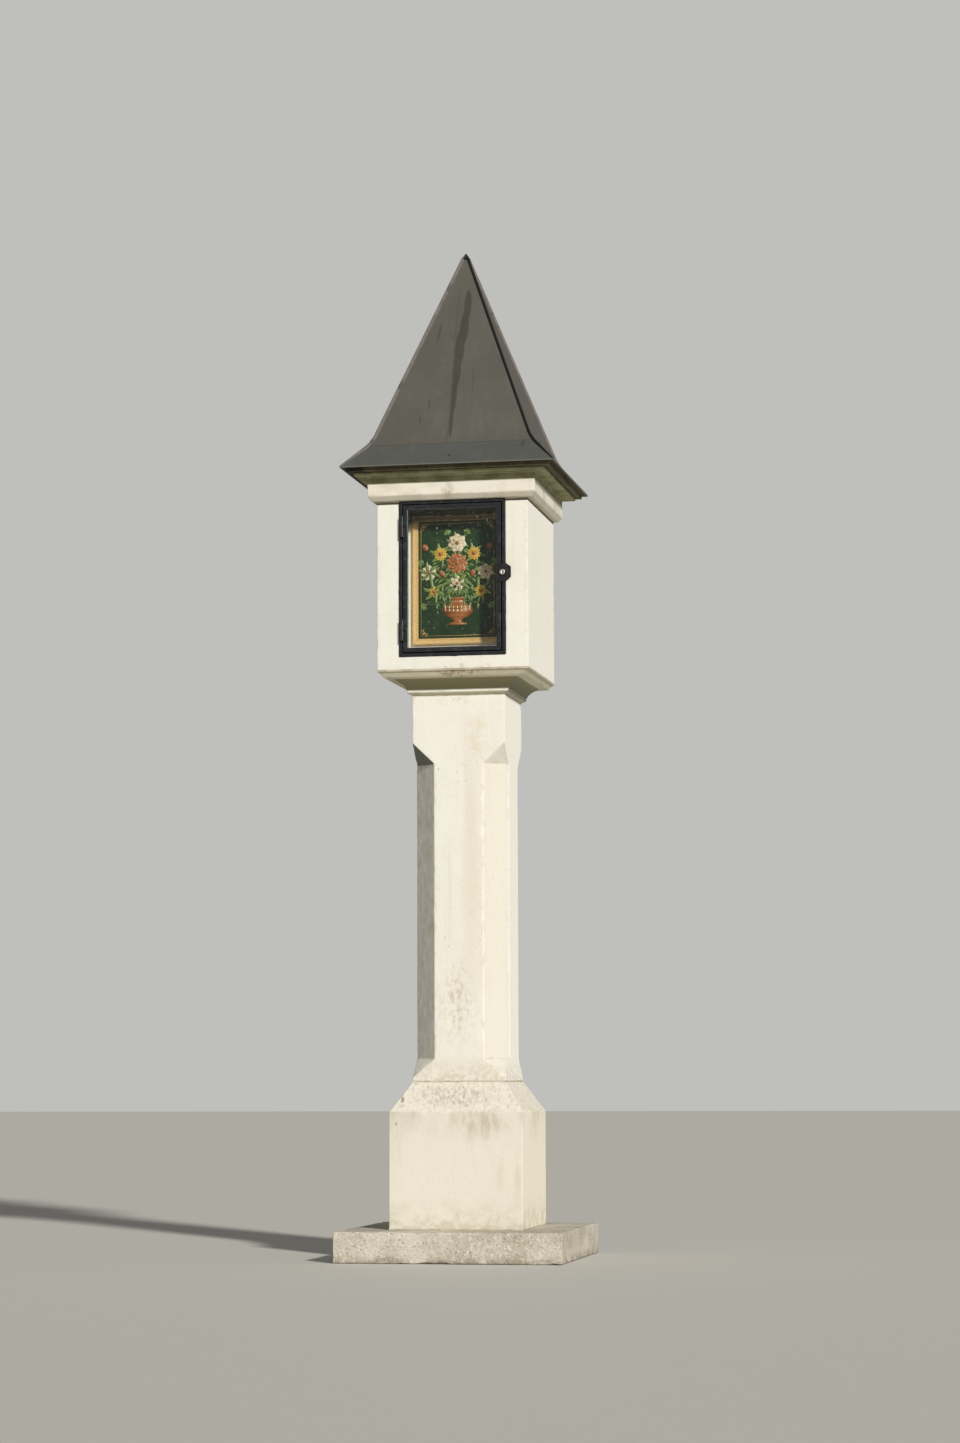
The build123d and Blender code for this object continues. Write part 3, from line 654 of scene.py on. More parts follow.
def dressed(name, solid, width, reach, wave=0.0, chip=0.0, cell=0.0, seed=0, segments=2, axes=(0, 1, 2)):
    """A piece with eased arrises, marked by its nearness to them, where its finish shows wear and, on the
    roof seams, a painted highlight too. With a cell size, its faces are cut fine enough to be waved and
    chipped too. Large faces stay flat to the eye."""
    lines = eased(solid, width, segments)
    if cell:
        gridded(solid, cell, axes)
    worn(solid, lines, wave, chip, reach, seed)
    piece = as_piece(name, solid)
    piece.modifiers.new("even", "WEIGHTED_NORMAL").keep_sharp = True
    return settled(piece)


def give(piece, body, material, slot, *nodes):
    """Hands a finished mesh to its body, with its finish and the CAD nodes that it stands for."""
    piece.data.materials.clear()
    piece.data.materials.append(material)
    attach(piece, body)
    if nodes:
        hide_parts(*nodes)
    return piece


def growth(name, *sizes):
    """A Geometry Nodes tree with an input for each size, and the sockets that give them."""
    tree = bpy.data.node_groups.new(name, "GeometryNodeTree")
    for label in ("Geometry", *sizes, "Material"):
        kind = "NodeSocket" + (label if label in ("Geometry", "Material") else "Float")
        tree.interface.new_socket(label, in_out="INPUT", socket_type=kind)
    tree.interface.new_socket("Geometry", in_out="OUTPUT", socket_type="NodeSocketGeometry")
    return tree, add(tree, "NodeGroupInput").outputs


def closed_growth(tree, made, given):
    """Ends a tree in real meshes with their material."""
    real = add(tree, "GeometryNodeRealizeInstances", {0: made}).outputs[0]
    coated = add(tree, "GeometryNodeSetMaterial", {"Geometry": real, "Material": given["Material"]})
    add(tree, "NodeGroupOutput", {0: coated.outputs[0]})
    return tree


def grown(name, mesh, tree, **values):
    """A piece that a Geometry Nodes tree makes from a mesh of paths or points."""
    piece = linked(name, mesh)
    grow = piece.modifiers.new("grow", "NODES")
    grow.node_group = tree
    for socket in tree.interface.items_tree:
        if socket.in_out == "INPUT" and socket.name.lower() in values:
            grow[socket.identifier] = values[socket.name.lower()]
    return settled(piece)


def strip_growth():
    """A strip of rectangular section along each path of the mesh. Mitre widens it for its corners."""
    tree, given = growth("strip along paths", "Width", "Thickness", "Mitre")
    path = add(tree, "GeometryNodeMeshToCurve", {0: given["Geometry"]}).outputs[0]
    level = add(tree, "GeometryNodeSetCurveNormal", {0: path}, mode="Z_UP").outputs[0]
    sides = {"Width": given["Width"], "Height": given["Thickness"]}
    section = add(tree, "GeometryNodeCurvePrimitiveQuadrilateral", sides).outputs[0]
    sweep = {"Curve": level, "Profile Curve": section, "Scale": given["Mitre"], "Fill Caps": True}
    strip = add(tree, "GeometryNodeCurveToMesh", sweep).outputs[0]
    flat = add(tree, "GeometryNodeSetShadeSmooth", {"Geometry": strip, "Shade Smooth": False})
    return closed_growth(tree, flat.outputs[0], given)


def stud_growth():
    """A domed head on each point of the mesh, turned to the direction that its attribute aim holds."""
    tree, given = growth("studs on points", "Radius", "Rise")
    ball = add(tree, "GeometryNodeMeshUVSphere", {"Segments": 16, "Rings": 8, "Radius": 1.0}).outputs[0]
    size = add(tree, "ShaderNodeCombineXYZ", {0: given["Radius"], 1: given["Radius"], 2: given["Rise"]})
    head = add(tree, "GeometryNodeTransform", {"Geometry": ball, "Scale": size.outputs[0]}).outputs[0]
    smooth = add(tree, "GeometryNodeSetShadeSmooth", {"Geometry": head, "Shade Smooth": True}).outputs[0]
    aim = add(tree, "GeometryNodeInputNamedAttribute", {"Name": "aim"}, data_type="FLOAT_VECTOR")
    turn = add(tree, "FunctionNodeAlignRotationToVector", {"Vector": aim.outputs[0]}, axis="Z").outputs[0]
    places = {"Points": given["Geometry"], "Instance": smooth, "Rotation": turn}
    return closed_growth(tree, add(tree, "GeometryNodeInstanceOnPoints", places).outputs[0], given)


def board_growth():
    """Boards of one size side by side, one on each point of the mesh."""
    tree, given = growth("boards on points", "Width", "Length", "Thickness")
    size = add(tree, "ShaderNodeCombineXYZ", {0: given["Width"], 1: given["Length"], 2: given["Thickness"]})
    board = add(tree, "GeometryNodeMeshCube", {"Size": size.outputs[0]}).outputs[0]
    places = {"Points": given["Geometry"], "Instance": board}
    return closed_growth(tree, add(tree, "GeometryNodeInstanceOnPoints", places).outputs[0], given)


def path_mesh(name, paths, closed=False):
    """A mesh of edges through the points of each path, for a Geometry Nodes tree."""
    points, edges = [], []
    for path in paths:
        numbers = range(len(points), len(points) + len(path))
        edges += zip(numbers, numbers[1:])
        if closed:
            edges.append((numbers[-1], numbers[0]))
        points += path
    mesh = bpy.data.meshes.new(name)
    mesh.from_pydata(points, edges, [])
    return mesh


def square_ring(half, level):
    """The corners of a level square round the object's axis."""
    return [(-half, -half, level), (half, -half, level), (half, half, level), (-half, half, level)]


def towards(azimuth, height=0.0):
    """The direction to a side, as an angle from the front to the right, and to a height over the floor."""
    level = math.cos(height)
    return Vector((math.sin(azimuth) * level, -math.cos(azimuth) * level, math.sin(height)))


class ShrineOperator:
    """What all operators of this add-on share."""

    bl_options = {"REGISTER", "UNDO"}


class SHRINE_OT_stage(ShrineOperator, bpy.types.Operator):
    """Sets the camera at the photograph's angle, with a pale floor and soft lights"""

    bl_idname = "shrine.stage"
    bl_label = "Set the stage"

    def execute(self, context):
        scene = context.scene
        stage = scene.shrine_stage
        camera = linked("camera", bpy.data.cameras.new("camera"))
        camera.data.sensor_width = SENSOR_WIDTH
        camera.data.lens = stage.lens
        camera.data.clip_end = CLIP_END
        place = towards(stage.azimuth) * stage.distance + Vector((0, 0, stage.eye_level))
        turn = Matrix.Rotation(stage.yaw, 4, "Z") @ Matrix.Rotation(math.pi / 2 + stage.pitch, 4, "X")
        camera.matrix_world = Matrix.Translation(place) @ turn @ Matrix.Rotation(stage.roll, 4, "Z")
        scene.camera = camera
        floor = bpy.data.meshes.new("floor")
        floor.from_pydata(square_ring(stage.floor_reach, 0), [], [(0, 1, 2, 3)])
        floor.materials.append(Finish("painted_studio_floor", stage.floor_colour, 0.8).done())
        ground = linked("floor", floor)
        lamp = linked("key", bpy.data.lights.new("key", "SUN"))
        lamp.data.angle = stage.key_softness
        lamp.data.energy = stage.key_power
        lamp.data.color = stage.key_colour[:3]
        away = towards(stage.key_azimuth, stage.key_height)
        lamp.location = away * CAD_HIGH.z * 2
        lamp.rotation_euler = away.to_track_quat("Z", "Y").to_euler()
        world = bpy.data.worlds.new("studio")
        world.use_nodes = True
        tree = world.node_tree
        sky = tree.nodes["Background"]
        sky.inputs["Color"].default_value = stage.sky_colour
        seen = add(tree, "ShaderNodeLightPath").outputs["Is Camera Ray"]
        strength = {0: seen, 2: stage.sky_strength, 3: stage.backdrop_strength}
        tree.links.new(add(tree, "ShaderNodeMix", strength).outputs[0], sky.inputs["Strength"])
        scene.world = world
        scene.view_settings.view_transform = "Standard"
        scene.view_settings.look = "None"
        return {"FINISHED"}


def niche_box():
    """The hollow box of the niche, one closed form without the joints between its walls."""
    left, inner_left, inner_right, right = LEFT_LOW.x, LEFT_HIGH.x, RIGHT_LOW.x, RIGHT_HIGH.x
    front, inner_back, back = LEFT_LOW.y, LEFT_HIGH.y, BACK_HIGH.y
    ring = [(left, front), (inner_left, front), (inner_left, inner_back), (inner_right, inner_back)]
    ring += [(inner_right, front), (right, front), (right, back), (left, back)]
    solid = bmesh.new()
    levels = ((BACK_HIGH.z, ring), (SILL_HIGH.z, ring[1:5]), (BACK_LOW.z, (ring[0], *ring[5:])))
    above, sill, below = ([solid.verts.new((x, y, z)) for x, y in corners] for z, corners in levels)
    faces = [above, below[::-1], sill]
    faces.append([above[0], below[0], below[1], above[5], above[4], sill[3], sill[0], above[1]])
    faces += [[above[at + 1], sill[at], sill[at + 1], above[at + 2]] for at in range(3)]
    faces += [[above[at + 4], below[at], below[(at + 1) % 4], above[(at + 5) % 8]] for at in range(1, 4)]
    for face in faces:
        solid.faces.new(face)
    bmesh.ops.recalc_face_normals(solid, faces=solid.faces)
    return solid


class SHRINE_OT_stones(ShrineOperator, bpy.types.Operator):
    """Dresses the plinth, shaft, corbel, niche box and cornice as limewashed stones with worn arrises"""

    bl_idname = "shrine.stones"
    bl_label = "Dress the stones"

    def execute(self, context):
        stone = context.scene.shrine_stone
        wear = (stone.arris, stone.chip_reach, stone.wave, stone.chip, stone.cell)
        walls = ("niche_sill", "niche_left_wall", "niche_right_wall", "niche_back_wall")
        for seed, (name, wash, *nodes) in enumerate((
            ("plinth_stone", plinth_wash(), "base_block"),
            ("shaft_stone", shaft_wash(), "shaft"),
            ("corbel_stone", corbel_wash(), "corbel"),
            ("niche_box_stone", box_wash(), *walls),
            ("cornice_stone", cornice_wash("limewash_on_cornice"), "cornice_bed"),
            ("crown_course_stone", cornice_wash("limewash_on_crown"), "cornice_crown"),
        )):
            solid = niche_box() if len(nodes) > 1 else clean_copy(*nodes)
            give(dressed(name, solid, *wear, seed, segments=3), FIXED, wash, "limewashed_stone", *nodes)
        return {"FINISHED"}


class SHRINE_OT_footing(ShrineOperator, bpy.types.Operator):
    """Makes the footing slab a weathered concrete casting with broken edges"""

    bl_idname = "shrine.footing"
    bl_label = "Weather the footing"

    def execute(self, context):
        stone = context.scene.shrine_stone
        # A casting is rounder, wavier and more broken than dressed stone
        wear = (2 * stone.arris, 2 * stone.chip_reach, 1.5 * stone.wave, 2.5 * stone.chip, stone.cell)
        piece = dressed("footing_casting", clean_copy("footing_slab"), *wear, len(SIDES), segments=3)
        give(piece, FIXED, footing_concrete(), "concrete", "footing_slab")
        return {"FINISHED"}


class SHRINE_OT_mortar(ShrineOperator, bpy.types.Operator):
    """Lays the mortar in the joints between the stones"""

    bl_idname = "shrine.mortar"
    bl_label = "Point the joints"

    def execute(self, context):
        stone = context.scene.shrine_stone
        mortar = lime_mortar()
        joints = (
            (BASE_HIGH.x, BASE_LOW.z), (SHAFT_HIGH.x, SHAFT_LOW.z), (SHAFT_HIGH.x, SHAFT_HIGH.z),
            (RIGHT_HIGH.x, CORBEL_HIGH.z), (RIGHT_HIGH.x, BED_LOW.z), (BED_HIGH.x, BED_HIGH.z),
        )
        inset = stone.joint_depth + stone.joint_bed / 2
        rings = [square_ring(half - inset, level) for half, level in joints]
        strips = grown(
            "mortar_joints", path_mesh("joints", rings, closed=True), strip_growth(),
            width=stone.joint_bed, thickness=stone.joint / MITRE, mitre=MITRE, material=mortar,
        )
        give(strips, FIXED, mortar, "limewashed_stone")
        return {"FINISHED"}


def roof_half(level):
    """About half the side of the roof at a level, along its two slopes."""
    if level < SPIRE_LOW.z:
        share = (level - BOARD_HIGH.z) / (SPIRE_LOW.z - BOARD_HIGH.z)
        return FLARE_HIGH.x + (SPIRE_HIGH.x - FLARE_HIGH.x) * share
    return SPIRE_HIGH.x * (SPIRE_HIGH.z - level) / (SPIRE_HIGH.z - SPIRE_LOW.z)


def sheet_hits(node, x, levels):
    """For each level, where a front sheet lies and the direction that it faces there."""
    sheet = clean_copy(node)
    tree = BVHTree.FromBMesh(sheet)
    sheet.free()
    return [tree.ray_cast(Vector((x, CAD_LOW.y, level)), Vector((0, 1, 0)))[:2] for level in levels]


def buckled(solid, turn, low, high, depth, seed):
    """Lets a roof sheet bulge and sink a little between its seams, as thin sheet does."""
    inwards, along = turn @ Vector((0, 1, 0)), turn @ Vector((1, 0, 0))
    for vertex in solid.verts:
        across, level = vertex.co.dot(along), vertex.co.z
        edge = min(roof_half(level) - abs(across), level - low, high - level)
        share = min(1.0, max(0.0, edge / BUCKLE_FADE))
        spot = Vector((across * BUCKLES_ACROSS, seed * BUCKLE_STEP, level * BUCKLES_UP))
        swell = 0.5 + 0.5 * noise.noise(spot)
        vertex.co += inwards * (depth * share * max(0.0, swell))


class SHRINE_OT_roof_sheets(ShrineOperator, bpy.types.Operator):
    """Dresses the eight zinc sheets of the roof, which buckle a little between their seams"""

    bl_idname = "shrine.roof_sheets"
    bl_label = "Dress the roof sheets"

    def execute(self, context):
        roof = context.scene.shrine_roof
        finishes = (("flare", flare_zinc(), 0), ("spire", spire_zinc(), len(SIDES)))
        for quarter, side in enumerate(SIDES):
            for part, zinc, first_seed in finishes:
                node = side + "_" + part + "_sheet"
                low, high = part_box(node)
                solid = clean_copy(node)
                gridded(solid, roof.cell, (0, 1, 2))
                buckled(solid, TURNS[quarter], low.z, high.z, roof.buckle, quarter + first_seed)
                give(as_piece(side + "_" + part + "_zinc", solid), FIXED, zinc, "roof_sheet", node)
        return {"FINISHED"}


class SHRINE_OT_roof_seams(ShrineOperator, bpy.types.Operator):
    """Dresses the hip seams and the cap, and folds the upright joint in the middle of each side"""

    bl_idname = "shrine.roof_seams"
    bl_label = "Fold the roof seams"

    def execute(self, context):
        roof = context.scene.shrine_roof
        seam = seam_zinc()
        for seed, hip in enumerate(HIPS):
            node = hip + "_hip_seam"
            fold = dressed(
                hip + "_seam_fold", clean_copy(node), roof.seam_rounding, SEAM_WEAR, roof.buckle,
                cell=roof.cell, seed=seed, axes=(2,),
            )
            give(fold, FIXED, seam, "roof_sheet", node)
        tip = clean_copy("apex_cap")
        for vertex in tip.verts:
            if vertex.co.z > CAD_HIGH.z - WELD:
                vertex.co.xy *= roof.tip_share
        cap = dressed("apex_fold", tip, roof.seam_rounding / 4, SEAM_WEAR)
        give(cap, FIXED, seam, "roof_sheet", "apex_cap")
        low = SPIRE_LOW.z + roof.fold_start
        levels = np.linspace(low, low + roof.fold_rise, FOLD_STATIONS)
        hits = sheet_hits("front_spire_sheet", roof.fold_x, levels)
        paths = path_mesh("folds", [[turn @ spot for spot, _ in hits] for turn in TURNS])
        zinc = bpy.data.materials["painted_zinc_spire"]
        folds = grown(
            "upright_folds", paths, strip_growth(),
            width=roof.fold_width, thickness=roof.fold_thickness, mitre=1.0, material=zinc,
        )
        give(folds, FIXED, zinc, "roof_sheet")
        return {"FINISHED"}


class SHRINE_OT_roof_nails(ShrineOperator, bpy.types.Operator):
    """Drives a nail into the middle of each flared sheet"""

    bl_idname = "shrine.roof_nails"
    bl_label = "Nail the sheets"

    def execute(self, context):
        roof = context.scene.shrine_roof
        [(spot, facing)] = sheet_hits("front_flare_sheet", roof.nail_x, [BOARD_HIGH.z + roof.nail_level])
        mesh = path_mesh("nails", [[turn @ spot] for turn in TURNS])
        aim = mesh.attributes.new("aim", "FLOAT_VECTOR", "POINT")
        for value, turn in zip(aim.data, TURNS):
            value.vector = turn @ facing
        seam = bpy.data.materials["painted_zinc_seams"]
        sizes = {"radius": roof.nail_radius, "rise": roof.nail_rise}
        give(grown("roof_nails", mesh, stud_growth(), material=seam, **sizes), FIXED, seam, "roof_sheet")
        return {"FINISHED"}


class SHRINE_OT_soffit(ShrineOperator, bpy.types.Operator):
    """Lays the boards that close the eave from below"""

    bl_idname = "shrine.soffit"
    bl_label = "Board the soffit"

    def execute(self, context):
        roof = context.scene.shrine_roof
        timber = soffit_timber()
        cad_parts["roof_core"].data.materials[0] = timber
        size = BOARD_HIGH - BOARD_LOW
        count = round(size.x / roof.board_width)
        pitch = size.x / count
        level = (BOARD_LOW.z + BOARD_HIGH.z) / 2
        mesh = path_mesh("boards", [[(BOARD_LOW.x + pitch * (at + 0.5), 0, level)] for at in range(count)])
        boards = grown(
            "soffit_boards", mesh, board_growth(),
            width=pitch - roof.board_gap, length=size.y, thickness=size.z, material=timber,
        )
        give(boards, FIXED, timber, "roof_timber", "eave_board")
        return {"FINISHED"}


class SHRINE_OT_door(ShrineOperator, bpy.types.Operator):
    """Dresses the fixed frame and the leaf, each welded from four steel bars"""

    bl_idname = "shrine.door"
    bl_label = "Dress the steel door"

    def execute(self, context):
        door = context.scene.shrine_door
        enamel = door_enamel("blue_black_enamel", door.enamel)
        fixed = ["door_frame_" + bar for bar in ("bottom", "top", "left", "right")]
        leaf = ["leaf_bottom_rail", "leaf_top_rail", "leaf_hinge_stile", "leaf_lock_stile"]
        for name, body, nodes in (("door_frame_steel", FIXED, fixed), ("leaf_steel", SWUNG, leaf)):
            piece = dressed(name, joined_copy(*nodes), door.rounding, door.wear)
            give(piece, body, enamel, "door_steel", *nodes)
        return {"FINISHED"}


class SHRINE_OT_hinges(ShrineOperator, bpy.types.Operator):
    """Dresses the two lift-off hinges, the pin half and the leaf half of each"""

    bl_idname = "shrine.hinges"
    bl_label = "Dress the hinges"

    def execute(self, context):
        wear = context.scene.shrine_door.wear
        enamel = bpy.data.materials["blue_black_enamel"]
        for place in ("lower", "upper"):
            for half, body in (("_hinge_pin", FIXED), ("_hinge_leaf", SWUNG)):
                node = place + half + "_half"
                piece = dressed(place + half + "_steel", clean_copy(node), HINGE_ROUNDING, wear)
                give(piece, body, enamel, "door_steel", node)
        return {"FINISHED"}


class SHRINE_OT_glazing(ShrineOperator, bpy.types.Operator):
    """Makes the pane clear glass, set in a thin bead of putty"""

    bl_idname = "shrine.glazing"
    bl_label = "Glaze the leaf"

    def execute(self, context):
        door = context.scene.shrine_door
        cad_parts["glass_pane"].data.materials[0] = float_glass()
        putty = linseed_putty()
        left, right = RAIL_LOW.x + door.face, RAIL_HIGH.x - door.face
        low, high = RAIL_HIGH.z, TOP_RAIL_LOW.z
        front = PANE_LOW.y - door.seal / 4
        corners = [(left, front, low), (right, front, low), (right, front, high), (left, front, high)]
        bead = grown(
            "putty_bead", path_mesh("bead", [corners], closed=True), strip_growth(),
            width=door.seal, thickness=door.seal, mitre=MITRE, material=putty,
        )
        give(bead, SWUNG, putty, "door_steel")
        return {"FINISHED"}


class SHRINE_OT_lock(ShrineOperator, bpy.types.Operator):
    """Dresses the lock plate, and cuts the keyway into the round lock"""

    bl_idname = "shrine.lock"
    bl_label = "Dress the lock"

    def execute(self, context):
        door = context.scene.shrine_door
        plate = dressed("lock_plate_steel", clean_copy("lock_plate"), PLATE_ROUNDING, door.wear)
        give(plate, SWUNG, door_enamel("black_lock_enamel", door.lock), "lock_steel", "lock_plate")
        knob = dressed("lock_cylinder", clean_copy("lock_knob"), KNOB_ROUNDING, door.wear)
        middle = (KNOB_LOW + KNOB_HIGH) / 2
        size = Vector((door.keyway_width, door.keyway_depth * 2, door.keyway_height))
        slot = bmesh.new()
        bmesh.ops.create_cube(slot, size=1.0)
        bmesh.ops.scale(slot, vec=size, verts=slot.verts)
        bmesh.ops.translate(slot, vec=(middle.x, KNOB_LOW.y, middle.z), verts=slot.verts)
        cutter = as_piece("keyway", slot)
        cut = knob.modifiers.new("keyway", "BOOLEAN")
        cut.operation = "DIFFERENCE"
        cut.object = cutter
        settled(knob)
        tool = cutter.data
        bpy.data.objects.remove(cutter)
        bpy.data.meshes.remove(tool)
        give(knob, SWUNG, lock_metal(), "lock_chrome", "lock_knob")
        return {"FINISHED"}


class SHRINE_OT_picture_frame(ShrineOperator, bpy.types.Operator):
    """Dresses the gilt moulding round the picture"""

    bl_idname = "shrine.picture_frame"
    bl_label = "Gild the picture frame"

    def execute(self, context):
        piece = dressed("gilt_moulding", clean_copy("picture_frame"), GILT_ROUNDING, GILT_WEAR)
        give(piece, FIXED, gilt_wood(), "gilt_wood", "picture_frame")
        return {"FINISHED"}


class Strokes:
    """Flat strokes of paint of one colour on the picture panel, gathered into one thin mesh.
    Places are across and up from the middle of a design that is scaled to the width of the panel."""

    def __init__(self, lift):
        self.solid = bmesh.new()
        self.run = self.solid.verts.layers.float.new("run")
        self.side = self.solid.verts.layers.float.new("side")
        self.face = PANEL_LOW.y - lift
        self.middle = (PANEL_LOW.z + PANEL_HIGH.z) / 2
        self.scale = (PANEL_HIGH.x - PANEL_LOW.x) / DESIGN_WIDTH

    def band(self, stations):
        """A stroke through stations, each a middle, the half width that points to one side, and a share.
        Each stroke lies a step further out than the one before."""
        rows = []
        for (x, up), (side_x, side_up), share in stations:
            rows.append([])
            for side in (-1, 0, 1):
                level = self.middle + self.scale * (up + side * side_up)
                vertex = self.solid.verts.new((self.scale * (x + side * side_x), self.face, level))
                vertex[self.run] = share
                vertex[self.side] = abs(side)
                rows[-1].append(vertex)
        for low, high in zip(rows, rows[1:]):
            for side in (0, 1):
                self.solid.faces.new((low[side], low[side + 1], high[side + 1], high[side]))
        self.face -= STROKE_STEP

    def stroke(self, steps, place):
        """A stroke through the middle and half width that place gives for each share of its length."""
        self.band([(*place(step / steps), step / steps) for step in range(steps + 1)])

    def petal(self, x, up, turn, length, width, fullness=1.0, bend=0.0, steps=9):
        """A petal or leaf from its base. Turn 0 points up. Fullness over 1 makes it widest near its tip."""
        def place(share):
            heading = turn + bend * share
            across, along = math.sin(heading), math.cos(heading)
            half = width / 2 * math.sin(math.pi * min(0.995, max(0.005, share ** fullness)))
            return (x + length * share * across, up + length * share * along), (half * along, -half * across)
        self.stroke(steps, place)

    def stem(self, start, control, end, width, steps=14):
        """A curved line that thins towards its end."""
        start, control, end = Vector(start), Vector(control), Vector(end)

        def place(share):
            spot = start * (1 - share) ** 2 + control * 2 * share * (1 - share) + end * share ** 2
            along = ((control - start) * (1 - share) + (end - control) * share).normalized()
            half = width / 2 * (1 - 0.5 * share)
            return spot, (along.y * half, -along.x * half)
        self.stroke(steps, place)

    def curl(self, x, up, turn, radius, width, hand, turns=1.1, steps=22):
        """A scroll that winds inwards to one hand, from its open end."""
        def place(share):
            reach = radius * (1 - 0.72 * share)
            heading = turn + hand * turns * 2 * math.pi * share
            across, along = math.cos(heading), math.sin(heading)
            half = width / 2 * (0.35 + 0.65 * math.sin(math.pi * share))
            return (x + reach * across, up + reach * along), (half * across, half * along)
        self.stroke(steps, place)

    def disc(self, x, up, radius, steps=8):
        """A round dab."""
        def place(share):
            level = -math.cos(math.pi * min(0.98, max(0.02, share)))
            return (x, up + radius * level), (radius * math.sqrt(1 - level * level), 0)
        self.stroke(steps, place)

    def rosette(self, x, up, radius, petals, rows, fullness, start):
        """Rows of petals round a middle, the inner rows shorter and turned half a petal on."""
        for row in range(rows):
            length = radius * (1 - 0.32 * row)
            for petal in range(petals):
                turn = start + 2 * math.pi * (petal + 0.5 * row) / petals
                self.petal(x, up, turn, length, 2.1 * length * math.sin(math.pi / petals), fullness)

    def piece(self, name, *paint):
        """The strokes as a finished piece, a thin coat of the oil paint that is given."""
        bmesh.ops.recalc_face_normals(self.solid, faces=self.solid.faces)
        for face in self.solid.faces:
            if face.normal.y > 0:
                face.normal_flip()
        mesh = bpy.data.meshes.new(name)
        self.solid.to_mesh(mesh)
        self.solid.free()
        mesh.shade_smooth()
        painted = linked(name, mesh)
        coat = painted.modifiers.new("coat", "SOLIDIFY")
        coat.thickness = COAT
        coat.offset = 0.0
        give(settled(painted), FIXED, oil_paint(*paint), "painted_panel")


def mirrored(spots):
    """Each place twice, on the right and on the left. The last value is the hand, 1 or -1."""
    return [(hand * x, *rest, hand) for x, *rest in spots for hand in (1, -1)]


